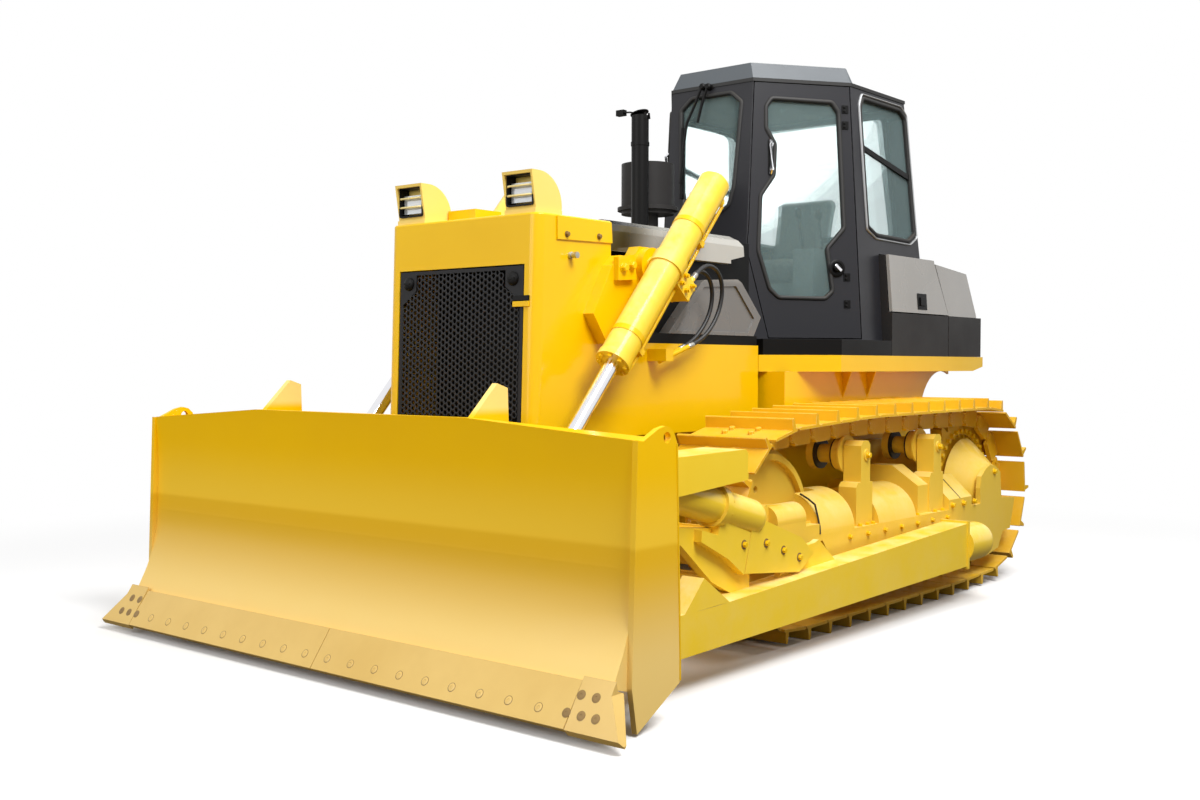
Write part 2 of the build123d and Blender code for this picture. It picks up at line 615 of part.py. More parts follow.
hose_routes = {
    "upper": [(680, 1822, 1772), (668, 1895, 1822), (654, 1998, 1850), (640, 2104, 1818), (628, 2156, 1732), (618, 2140, 1622),
              (610, 2072, 1524), (602, 1985, 1462), (601, 1900, 1436)],
    "lower": [(638, 1826, 1748), (626, 1893, 1796), (612, 1986, 1822), (598, 2080, 1790), (586, 2126, 1708), (577, 2112, 1606),
              (566, 2048, 1514), (560, 1968, 1454), (559, 1886, 1424)],
}


def make_hose(route):
    """Hydraulic hose: straight runs joined by arcs, each as large as its runs allow."""
    points = [Vector(*point) for point in route]
    runs = [b - a for a, b in zip(points, points[1:])]
    radii = [0.45 * min(a.length, b.length) / tan(radians(a.get_angle(b)) / 2) for a, b in zip(runs, runs[1:])]
    path = FilletPolyline(*points, radius=radii)
    hose = sweep(Plane(origin=points[0], z_dir=runs[0]) * Circle(hose_radius), path=path)
    print("hose arcs", [round(radius) for radius in radii], "length", round(path.length),
          "volume against section times length", round(hose.volume / (pi * hose_radius ** 2 * path.length), 4))
    return hose


def hose_end(route, start, gap, reach, radius):
    """Round fitting in line with a hose's first or last run, gap beyond its end."""
    a, b = (Vector(*route[1]), Vector(*route[0])) if start else (Vector(*route[-2]), Vector(*route[-1]))
    way = (b - a).normalized()
    return shaft(b + way * gap, b + way * (gap + reach), radius)


def make_lift_barrel():
    """Left lift cylinder: domed barrel, trunnion collar with its pin, gland and the valve block for the hoses."""
    collar = lift_bar(-36, 36, barrel_radius + 8)
    pin = cross_shaft(lift_trunnion, nose_half + 14, lift_x, 45)
    gland = lift_bar(-barrel_low, -barrel_low + 34, barrel_radius + 5)
    top = Plane(origin=lift_centre + lift_up * (barrel_high - 26), z_dir=lift_up) * Cone(barrel_radius, 54, 26, align=(Align.CENTER, Align.CENTER, Align.MIN))
    frame = Plane(origin=lift_centre + lift_side * 138, x_dir=(1, 0, 0), z_dir=lift_up)
    valve = Pos(-25, 0, 0) * (frame * Box(120, 126, 100))
    fittings = [hose_end(route, True, 0.5, 105, hose_radius + 3) for route in hose_routes.values()]
    port = shaft(lift_centre + lift_up * (barrel_high - 60), lift_centre + lift_up * (barrel_high - 60) + lift_side * 112, 20)
    body = joined([lift_bar(-barrel_low, barrel_high - 26, barrel_radius), collar, pin, gland, top, valve, port, *fittings])
    bore = lift_bar(-barrel_low + 45, barrel_high - 34, barrel_bore)
    return body - bore - lift_bar(-barrel_low - 1, -barrel_low + 46, rod_radius + 0.06)


def make_lift_rod():
    """Left rod with its piston, and the eye that turns on the blade."""
    piston_at = -barrel_low + 449
    eye = cross_shaft(lift_eye, lift_x - 40, lift_x + 40, 62)
    pin = cross_shaft(lift_eye, lift_x - 46, lift_x + 46, 38)
    return joined([lift_bar(-lift_length, piston_at, rod_radius), lift_bar(piston_at - 33, piston_at, barrel_bore - 0.5), eye, pin])


def make_yoke():
    """Bracket on the nose that holds the lift cylinder's trunnion pin, with its bearing cap."""
    y, z = lift_trunnion
    plate = side_plate([(1198, 1580), (1290, 1735), (1338, 1812), (1392, 1862), (1500, 1862), (y - 60, z + 92), (y + 60, z + 92),
                        (y + 100, z + 30), (y + 96, z - 60), (y + 30, z - 110), (1455, 1508), (1300, 1440)], nose_half + 1, 560)
    boss = cross_shaft(lift_trunnion, nose_half + 1, 600, 88)
    cap = side_plate([(1345, 1740), (1345, 1850), (1470, 1870), (1480, 1750)], 560, 590)
    return plate + boss + cap - cross_shaft(lift_trunnion, nose_half, lift_x, 45.06)


def make_hose_pipes():
    """Steel pipes that the hoses end on, with the clamp that holds them to the nose."""
    pipes = [hose_end(route, False, 0, 190, hose_radius + 1) for route in hose_routes.values()]
    clamp = block(nose_half + 1, 612, 1690, 1750, 1360, 1420)
    return joined([clamp, *pipes])


def make_blade_eye():
    """Clevis behind the blade for one lift rod, open to the rear."""
    y, z = lift_eye
    ears = [side_plate([(440, z - 150), (440, z + 150), (y + 40, z + 75), (y + 75, z), (y + 40, z - 75)], x, x + 25)
            - cross_shaft(lift_eye, x - 1, x + 26, 40) for x in (lift_x - 78, lift_x + 53)]
    return ears


# ---------- engine, exhaust and cabin fittings ----------

def make_grille():
    """Radiator grille: a leaning plate with staggered holes, plain upper corners and a round knob on each."""
    rake = (nose_front - nose_foot) / (nose_top - nose_low)
    height = grille_high - grille_low
    lean = Plane(origin=(0, nose_station(grille_low) + 8, grille_low), x_dir=(1, 0, 0), z_dir=(0, -1, rake))
    half = grille_half - 6
    plate = face([(-half, 6), (half, 6), (half, height - 6), (-half, height - 6)])
    holes = []
    for column in range(-10, 11):
        x = column * hole_step * 0.98
        for row in range(16):
            h = 32 + row * 2 * hole_row + (column % 2) * hole_row
            in_corner = abs(x) > 305 and h > height - 110 - 0.75 * (abs(x) - 305)
            if h < height - 28 and abs(x) < half - 20 and not in_corner:
                holes.append(Pos(x, h) * RegularPolygon(hole_radius, 6))
    plate = extrude(lean * (plate - holes), amount=-12)
    knobs = [lean * (Pos(x, height - 64, -1) * Cylinder(33, 13, align=(Align.CENTER, Align.CENTER, Align.MIN))) for x in (-350, 350)]
    print("grille holes", len(holes))
    return joined([plate, *knobs])


def make_exhaust():
    """Exhaust pipe with its outlet turned to the right."""
    pipe = shaft((0, 2260, 2046), (0, 2260, 2640), 48)
    bend = Pos(-75, 2260, 2640) * (Plane.XZ * Torus(75, 48, major_angle=90))
    return pipe + shaft((-75, 2260, 2715), (-160, 2260, 2715), 48) + bend


def make_precleaner():
    drum = shaft((-100, 2460, 2195), (-100, 2460, 2480), 150)
    flange = shaft((-100, 2460, 2215), (-100, 2460, 2235), 172)
    return joined([drum, flange, shaft((-100, 2460, 2046), (-100, 2460, 2195), 60)])


def make_seat():
    """Operator's seat: pedestal with consoles, cushion and back."""
    base = block(-230, 230, 3520, 3980, cab_floor + cab_wall + 1, 1850)
    consoles = both(block(300, 440, 3380, 3960, cab_floor + cab_wall + 1, 2040))
    cushion = Pos(0, 3740, 1921) * Box(480, 500, 140)
    back = side_plate([(3900, 1993), (4010, 1993), (4110, 2420), (4040, 2440), (3990, 2420)], -240, 240)
    return base, consoles, fillet(cushion.edges(), 40), fillet(back.edges().filter_by(Axis.X), 25)


def make_drawbar():
    """Rear drawbar: two ears with one pin hole, on the back of the main frame."""
    ear = deck_plate([(-130, 4862), (130, 4862), (90, 5090), (40, 5140), (-40, 5140), (-90, 5090)], 0, 35)
    ears = [Pos(0, 0, z) * ear - shaft((0, 5060, z - 1), (0, 5060, z + 36), drawbar_hole) for z in (560, 680)]
    return joined([*ears, block(-130, 130, 4861, 4900, 520, 760)])


def put_pair(node, shape):
    """The left-hand node and its right-hand twin."""
    put(f"{node}_left", shape)
    put(f"{node}_right", mirror(shape, about=Plane.YZ))


def main():
    os.makedirs("parts", exist_ok=True)
    put_pair("track", make_track())
    put_pair("track_frame", make_track_frame())
    put("sprockets", *both(make_sprocket()))
    put("final_drives", *both(make_final_drive()))
    put("idlers", *both(make_idler()))
    put("track_rollers", *[twin for roller in make_track_rollers() for twin in both(roller)])
    put("carrier_rollers", *[twin for roller in make_carriers() for twin in both(roller)])
    put("main_frame", make_main_frame())
    put("drawbar", make_drawbar())
    put("engine_block", block(-330, 330, 1480, 2500, 1060, 1820))
    put("radiator", block(-470, 470, 1180, 1380, 1030, 1960))
    put("nose_guard", make_nose())
    put("grille", make_grille())
    put("hood", *make_hood())
    put("hood_core", make_hood_core())
    put("headlamps", *make_headlamps())
    put("lamp_lenses", *make_lenses())
    put("exhaust", make_exhaust())
    put("precleaner", make_precleaner())
    door, door_glass, shell, glass = make_cab()
    put("cab_shell", shell)
    put("cab_glass", *glass)
    put_pair("cab_door", door)
    put_pair("door_glass", door_glass)
    put("cab_roof", make_roof())
    base, consoles, cushion, back = make_seat()
    put("seat_base", base)
    put("consoles", *consoles)
    put("seat_cushion", cushion)
    put("seat_back", back)
    put("platforms", *both(make_platforms()))
    put("deck_box", make_deck_box())
    put("side_boxes", *both(make_side_box()))
    put_pair("side_lid", make_side_lid())
    put("fuel_tank", make_fuel_tank())
    put("tank_base", make_tank_base())
    put("blade", joined([make_blade(), *[twin for ear in make_blade_eye() for twin in both(ear)]]))
    put("cutting_edges", *make_cutting_edges())
    put("end_bits", *make_end_bits())
    put("push_arms", *both(make_push_arm()))
    put("tilt_set", *both(make_tilt_set()))
    put_pair("lift_barrel", make_lift_barrel())
    put_pair("lift_rod", make_lift_rod())
    put("cylinder_yokes", *both(make_yoke()))
    put("hose_pipes", *both(make_hose_pipes()))
    for name, route in hose_routes.items():
        put_pair(f"hose_{name}", make_hose(route))


main()
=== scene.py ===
import math

import bmesh
import bpy
import numpy as np
from mathutils import Matrix, Vector


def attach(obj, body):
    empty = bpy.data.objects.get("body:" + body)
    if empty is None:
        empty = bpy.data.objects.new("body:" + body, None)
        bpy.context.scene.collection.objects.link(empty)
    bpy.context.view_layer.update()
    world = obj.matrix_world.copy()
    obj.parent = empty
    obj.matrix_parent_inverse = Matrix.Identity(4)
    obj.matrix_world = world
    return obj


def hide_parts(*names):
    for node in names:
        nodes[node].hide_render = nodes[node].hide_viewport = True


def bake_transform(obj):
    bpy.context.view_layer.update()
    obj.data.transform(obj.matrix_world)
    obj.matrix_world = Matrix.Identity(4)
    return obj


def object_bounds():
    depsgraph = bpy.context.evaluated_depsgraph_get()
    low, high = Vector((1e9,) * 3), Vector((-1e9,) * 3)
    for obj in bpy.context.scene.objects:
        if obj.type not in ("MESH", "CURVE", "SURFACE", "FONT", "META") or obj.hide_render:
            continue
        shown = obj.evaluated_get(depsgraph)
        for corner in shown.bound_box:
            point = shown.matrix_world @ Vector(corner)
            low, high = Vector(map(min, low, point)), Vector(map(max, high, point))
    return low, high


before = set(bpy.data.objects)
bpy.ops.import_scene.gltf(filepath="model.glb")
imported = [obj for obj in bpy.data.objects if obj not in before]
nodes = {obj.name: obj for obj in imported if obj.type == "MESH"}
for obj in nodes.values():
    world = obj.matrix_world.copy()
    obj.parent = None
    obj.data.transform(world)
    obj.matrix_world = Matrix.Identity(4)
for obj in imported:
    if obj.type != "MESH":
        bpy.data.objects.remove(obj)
cadBox = [list(corner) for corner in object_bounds()]
tipY = cadBox[0][1]            # the cutting edge, from which stations are counted back
print("frame loaded,", len(nodes), "nodes")


def at(*point):
    # A place in millimetres (across, station back from the cutting edge, height), as metres in the frame
    return np.array(point, float) / 1000 + (0, tipY, 0)


def many(points):
    # The same for a list of places, as one array
    return np.array(points, float) / 1000 + (0, tipY, 0)


def unit(v):
    # Each vector divided by its own length
    v = np.asarray(v, float)
    return v / np.linalg.norm(v, axis=-1, keepdims=True)


def newPiece(name, shape, body, finish, smooth=35, bevel=0.0, sheet=0.0):
    # Puts a shape's points and faces into a mesh with its finish, and lets it ride on its body
    verts, faces = shape
    mesh = bpy.data.meshes.new(name)
    mesh.from_pydata(np.asarray(verts, float).tolist(), [], [list(f) for f in faces])
    build = bmesh.new()
    build.from_mesh(mesh)
    if sheet:
        bmesh.ops.remove_doubles(build, verts=build.verts, dist=1e-5)
    else:
        bmesh.ops.recalc_face_normals(build, faces=build.faces)
    build.to_mesh(mesh)
    build.free()
    obj = bpy.data.objects.new(name, mesh)
    bpy.context.scene.collection.objects.link(obj)
    mesh.materials.append(finishes[finish])
    mesh.polygons.foreach_set("use_smooth", np.ones(len(mesh.polygons), bool))
    mesh.set_sharp_from_angle(angle=math.radians(smooth))
    if sheet:         # a flat sheet is given its wall
        wall = obj.modifiers.new("wall", "SOLIDIFY")
        wall.thickness = sheet
        wall.offset = -1
    if bevel:
        rounding = obj.modifiers.new("rounding", "BEVEL")
        rounding.width = bevel
        rounding.segments = 2
        rounding.limit_method = "ANGLE"
        rounding.angle_limit = math.radians(40)
        rounding.harden_normals = True
    if body:
        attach(obj, body)
    return obj


def gridFaces(rows, cols, closeRows=False, closeCols=False):
    # Quads of a rows by cols grid of points, wrapped round in either direction
    r = np.arange(rows if closeRows else rows - 1)[:, None]
    c = np.arange(cols if closeCols else cols - 1)[None, :]
    r1, c1 = (r + 1) % rows, (c + 1) % cols
    quads = np.stack(np.broadcast_arrays(r * cols + c, r * cols + c1, r1 * cols + c1, r1 * cols + c), -1)
    return quads.reshape(-1, 4).tolist()


def turned(profile, start, axis, sides=24, closed=False):
    # Turns (radius, distance) pairs about an axis: point = start + axis * distance + radius * (cos, sin)
    start, axis = np.asarray(start, float), unit(axis)
    ref = np.array([0, 0, 1.0]) if abs(axis[2]) < 0.9 else np.array([0, 1.0, 0])
    u = unit(np.cross(ref, axis))
    v = np.cross(axis, u)
    r, h = np.array(profile, float).T
    turn = np.linspace(0, 2 * np.pi, sides, endpoint=False)
    ring = np.cos(turn)[:, None] * u + np.sin(turn)[:, None] * v
    verts = start + h[:, None, None] * axis + r[:, None, None] * ring
    faces = gridFaces(len(r), sides, closeRows=closed, closeCols=True)
    if not closed:
        faces += [list(range(sides))[::-1], list(range((len(r) - 1) * sides, len(r) * sides))]
    return verts.reshape(-1, 3), faces


def carried(path, section, up, closed=False):
    # Carries a closed (across, above) section along a path; above leans towards up, and corners are mitred
    path = np.asarray(path, float)
    step = np.roll(path, -1, 0) - path
    back = path - np.roll(path, 1, 0)
    if not closed:
        step[-1], back[0] = back[-1], step[0]
    before, after = unit(back), unit(step)
    along = unit(before + after)
    side = unit(np.cross(along, np.broadcast_to(up, path.shape)))
    above = np.cross(side, along)
    widen = 1 / np.clip(np.sum(along * after, 1), 0.4, 1)
    wide = side * widen[:, None]
    s = np.array(section, float)
    verts = path[:, None] + s[None, :, :1] * wide[:, None] + s[None, :, 1:] * above[:, None]
    rows, cols = len(path), len(s)
    faces = gridFaces(rows, cols, closeRows=closed, closeCols=True)
    if not closed:
        faces += [list(range(cols))[::-1], list(range((rows - 1) * cols, rows * cols))]
    return verts.reshape(-1, 3), faces


def disc(radius, sides=12):
    # A round section for carried()
    turn = np.linspace(0, 2 * np.pi, sides, endpoint=False)
    return np.stack([radius * np.cos(turn), radius * np.sin(turn)], 1)


def slab(outline, origin, across, above, thick):
    # A flat outline in the plane of across and above, made solid by thick along their cross product
    a, b = unit(across), unit(above)
    n = np.cross(a, b)
    o = np.array(outline, float)
    low = np.asarray(origin, float) + o[:, :1] * a + o[:, 1:] * b
    m = len(o)
    verts = np.concatenate([low, low + n * thick])
    ring = np.arange(m)
    sides = np.stack([ring, (ring + 1) % m, (ring + 1) % m + m, ring + m], 1).tolist()
    return verts, [list(range(m))[::-1], list(range(m, 2 * m)), *sides]


def merged(shapes):
    # Several (points, faces) shapes as one
    verts, faces, count = [], [], 0
    for v, f in shapes:
        verts.append(v)
        faces += [[i + count for i in face] for face in f]
        count += len(v)
    return np.concatenate(verts), faces


def mirroredShape(shape):
    # The shape on the other side of the machine, with its faces still outwards
    v, f = shape
    return np.asarray(v, float) * (-1, 1, 1), [face[::-1] for face in f]


# each side's name and how a left shape gets there
bothSides = (("left", lambda shape: shape), ("right", mirroredShape))


def oblong(left, right, foot, top):
    # A rectangle's four corners, as an outline, a section or a ring's profile
    return [(left, foot), (right, foot), (right, top), (left, top)]


def scattered(shape, places, axes):
    # Copies of a shape made along z: point = place + u * x + v * y +
    # axis * z, worked out for all copies at once
    verts, faces = shape
    places = np.atleast_2d(np.asarray(places, float))
    axes = unit(np.broadcast_to(np.asarray(axes, float), places.shape))
    ref = np.where(np.abs(axes[:, 2:3]) < 0.9, [[0, 0, 1.0]], [[0, 1.0, 0]])
    u = unit(np.cross(ref, axes))
    v = np.cross(axes, u)
    basis = np.stack([u, v, axes], 1)
    points = places[:, None] + np.einsum("vk,nkc->nvc", verts, basis)
    count = len(verts)
    out = [[i + k * count for i in face] for k in range(len(places)) for face in faces]
    return points.reshape(-1, 3), out


def hexBolt(size, washer=True):
    # A bolt head standing on z=0, size across its flats: washer ring, six sides, chamfered top
    r = size / math.sqrt(3)
    head, faces = turned([(r, 0), (r, size * 0.5), (r * 0.8, size * 0.62)], (0, 0, 0), (0, 0, 1), 6)
    if not washer:
        return head, faces
    return merged([(head + (0, 0, size * 0.12), faces),
                   turned([(r * 1.25, 0), (r * 1.25, size * 0.12)], (0, 0, 0), (0, 0, 1), 12)])


def polyRound(points, radius, steps=5):
    # A 2-D outline with rounded corners: each becomes a quadratic curve that starts radius before it
    p = np.array(points, float)
    before, after = unit(np.roll(p, 1, 0) - p), unit(np.roll(p, -1, 0) - p)
    t = np.linspace(0, 1, steps)[None, :, None]
    a, b = (p + before * radius)[:, None], (p + after * radius)[:, None]
    return ((1 - t) ** 2 * a + 2 * t * (1 - t) * p[:, None] + t ** 2 * b).reshape(-1, 2)


def newGroup(name, inputs, outputs):
    # An empty node group with named number inputs and outputs, and its two end nodes
    tree = bpy.data.node_groups.new(name, "ShaderNodeTree")
    for label, value in inputs.items():
        made = tree.interface.new_socket(label, in_out="INPUT", socket_type="NodeSocketFloat")
        made.default_value = value
    for label in outputs:
        tree.interface.new_socket(label, in_out="OUTPUT", socket_type="NodeSocketFloat")
    return tree, tree.nodes.new("NodeGroupInput"), tree.nodes.new("NodeGroupOutput")


def node(tree, kind, links=(), **settings):
    # A shader node with its settings and its inputs: an input is a socket to link or a plain value
    made = tree.nodes.new("ShaderNode" + kind)
    for key, value in settings.items():
        setattr(made, key, value)
    for key, value in dict(links).items():
        socket = made.inputs[key]
        if isinstance(value, bpy.types.NodeSocket):
            tree.links.new(value, socket)
        else:
            socket.default_value = value
    return made


def sums(tree, operation, a, b=0.0, clamp=False):
    # One sum of two values or sockets
    return node(tree, "Math", {0: a, 1: b}, operation=operation, use_clamp=clamp).outputs[0]


def remap(tree, value, low=0.0, high=1.0, first=0.0, last=1.0, kind="LINEAR"):
    # A value carried from one range to another: first + (last - first) * (value - low) / (high - low)
    links = {"Value": value, "From Min": low, "From Max": high, "To Min": first, "To Max": last}
    return node(tree, "MapRange", links, interpolation_type=kind).outputs[0]


def makeEdgeWearAndHighlight():
    # Mask that is 1 where the surface turns sharply, broken up by noise; worn edges in most finishes, and
    # in the yellows a painted highlight along the edges
    tree, gin, gout = newGroup("edgeWearAndHighlight", {"Width": 0.004, "Breakup": 30.0, "Amount": 1.0}, ["Mask"])
    bevel = node(tree, "Bevel", {"Radius": gin.outputs["Width"]}, samples=4)
    plain = node(tree, "NewGeometry")
    dot = node(tree, "VectorMath", {0: bevel.outputs[0], 1: plain.outputs["Normal"]},
               operation="DOT_PRODUCT")
    turn = sums(tree, "MULTIPLY", sums(tree, "SUBTRACT", 1.0, dot.outputs["Value"]), 7.0, True)
    place = node(tree, "TexCoord")
    noise = node(tree, "TexNoise", {"Vector": place.outputs["Object"], "Scale": gin.outputs["Breakup"],
                                    "Detail": 5.0})
    ramp = remap(tree, noise.outputs["Fac"], 0.38, 0.62)
    mask = sums(tree, "MULTIPLY", turn, ramp)
    tree.links.new(sums(tree, "MULTIPLY", mask, gin.outputs["Amount"], True), gout.inputs["Mask"])
    return tree


def makeGrain():
    # Fine height and a slow value change over the surface, as sprayed paint or cast iron has
    tree, gin, gout = newGroup("grain", {"Fine": 400.0, "Slow": 2.0}, ["Height", "Drift"])
    place = node(tree, "TexCoord").outputs["Object"]
    fine = node(tree, "TexNoise", {"Vector": place, "Scale": gin.outputs["Fine"], "Detail": 2.0})
    slow = node(tree, "TexNoise", {"Vector": place, "Scale": gin.outputs["Slow"], "Detail": 4.0,
                                   "Roughness": 0.6})
    tree.links.new(fine.outputs["Fac"], gout.inputs["Height"])
    tree.links.new(slow.outputs["Fac"], gout.inputs["Drift"])
    return tree


def makeDustAndSheen():
    # Mask of settled dust: more on faces that look up, more near the ground, patchy. Some finishes give it
    # a cream colour as a painted highlight on faces that look up
    tree, gin, gout = newGroup("dustAndSheen", {"Up": 0.3, "Low": 0.3, "Reach": 0.8}, ["Mask"])
    place = node(tree, "TexCoord").outputs["Object"]
    normal = node(tree, "SeparateXYZ", {0: node(tree, "NewGeometry").outputs["Normal"]})
    height = node(tree, "SeparateXYZ", {0: place})
    upward = sums(tree, "MULTIPLY", normal.outputs["Z"], gin.outputs["Up"], True)
    low = sums(tree, "MULTIPLY", remap(tree, height.outputs["Z"], gin.outputs["Reach"], 0.0),
               gin.outputs["Low"])
    noise = node(tree, "TexNoise", {"Vector": place, "Scale": 6.0, "Detail": 8.0, "Roughness": 0.65})
    patch = remap(tree, noise.outputs["Fac"], 0.35, 0.7)
    tree.links.new(sums(tree, "MULTIPLY", sums(tree, "ADD", upward, low), patch, True), gout.inputs["Mask"])
    return tree


effects = {"edge": makeEdgeWearAndHighlight(), "grain": makeGrain(), "dustAndSheen": makeDustAndSheen()}


def effect(tree, name, **values):
    # One of the shared effects placed in a material, with this material's own values
    made = tree.nodes.new("ShaderNodeGroup")
    made.node_tree = effects[name]
    for key, value in values.items():
        made.inputs[key].default_value = value
    return made


def colourMix(tree, share, a, b):
    # Colour (1 - share) * a + share * b
    return node(tree, "Mix", {0: share, 6: a, 7: b}, data_type="RGBA").outputs[2]


def linear(colour):
    # A colour given as it looks on a screen, from 0 to 255, made linear
    c = np.array(colour) / 255
    return (*np.where(c <= 0.04045, c / 12.92, ((c + 0.055) / 1.055) ** 2.4), 1.0)


def newMaterial(name):
    # A new material with its node tree and its surface shader
    material = bpy.data.materials.new(name)
    material.use_nodes = True
    tree = material.node_tree
    shader = tree.nodes["Principled BSDF"]
    return material, tree, shader


def paint(name, look):
    # Sprayed paint: base colour that drifts slowly, worn edges, settled dust, orange-peel bump. In some
    # finishes the edges, the faces that look up and the fades are painted highlight, reflection and shade
    material, tree, shader = newMaterial(name)
    grain = effect(tree, "grain", Fine=look.get("fine", 260), Slow=look.get("slow", 1.5))
    edge = effect(tree, "edge", Width=look.get("edgeWidth", 0.004), Amount=look.get("edge", 0.5))
    dustAndSheen = effect(tree, "dustAndSheen", Up=look.get("dustAndSheenUp", 0.1), Low=look.get("dustLow", 0.2))
    drift = remap(tree, grain.outputs["Drift"], 0.3, 0.7)
    main, second, edgeWearAndHighlightTone = (linear(look.get(key, look["colour"]))
                          for key in ("colour", "second", "edgeWearAndHighlightColour"))
    colour = colourMix(tree, drift, main, second)
    place = node(tree, "SeparateXYZ", {0: node(tree, "TexCoord").outputs["Object"]})
    # along Y or Z the colour turns into another between two places; on the blade and the hood this is
    # painted shade and reflection
    for axis, start, end, other in look.get("fades", ()):
        share = remap(tree, place.outputs[axis], start, end, kind="SMOOTHSTEP")
        colour = colourMix(tree, share, colour, linear(other))
    # worn edges; in the yellows the lighter edge colour is a painted highlight where edges catch the light
    colour = colourMix(tree, edge.outputs["Mask"], colour, edgeWearAndHighlightTone)
    # settled dust; in the pale yellows the cream on faces that look up is a painted highlight of the top
    # light
    colour = colourMix(tree, dustAndSheen.outputs["Mask"], colour, linear(look.get("dustAndSheenColour", (200, 180, 140))))
    tree.links.new(colour, shader.inputs["Base Color"])
    rough = remap(tree, drift, first=look["rough"] - 0.06, last=look["rough"] + 0.08)
    rough = sums(tree, "ADD", rough, sums(tree, "MULTIPLY", dustAndSheen.outputs["Mask"], 0.35), True)
    tree.links.new(rough, shader.inputs["Roughness"])
    shader.inputs["Metallic"].default_value = look.get("metal", 0.0)
    shader.inputs["Coat Weight"].default_value = look.get("coat", 0.0)
    shader.inputs["Coat Roughness"].default_value = 0.12
    shader.inputs["Specular IOR Level"].default_value = look.get("gloss", 0.5)
    bump = node(tree, "Bump", {"Height": grain.outputs["Height"], "Strength": look.get("bump", 0.08),
                               "Distance": 0.001})
    tree.links.new(bump.outputs[0], shader.inputs["Normal"])
    material.diffuse_color = main
    return material


def clearGlass(name, look):
    # Window glass: a thin tinted pane that lets most light straight through, with faint smears in its gloss
    material, tree, shader = newMaterial(name)
    shader.inputs["Base Color"].default_value = linear(look["colour"])
    shader.inputs["Transmission Weight"].default_value = 0.6
    shader.inputs["IOR"].default_value = 1.06
    shader.inputs["Alpha"].default_value = look["alpha"]
    grain = effect(tree, "grain", Fine=90, Slow=3)
    rough = remap(tree, grain.outputs["Drift"], last=look["smear"])
    tree.links.new(rough, shader.inputs["Roughness"])
    material.diffuse_color = linear(look["colour"])
    return material


# edges lightened to pale yellow: a painted highlight where edges catch the light
yellow = {"colour": (240, 194, 0), "second": (236, 188, 0), "rough": 0.38, "coat": 0.4, "gloss": 0.12,
          "edge": 0.3, "edgeWearAndHighlightColour": (252, 218, 90), "dustAndSheenUp": 0.05, "dustLow": 0.15,
          "dustAndSheenColour": (238, 200, 100)}
hoodPaint = {"colour": (150, 147, 142), "second": (141, 138, 133), "rough": 0.24, "coat": 0.4, "edge": 0.3,
             "edgeWearAndHighlightColour": (205, 203, 197), "dustAndSheenColour": (178, 174, 166), "dustAndSheenUp": 0.03}
# cream on faces that look up: a painted highlight of the top light
paleYellow = {**yellow, "colour": (246, 210, 56), "second": (242, 203, 44), "dustAndSheenUp": 0.6,
              "dustAndSheenColour": (252, 240, 192)}
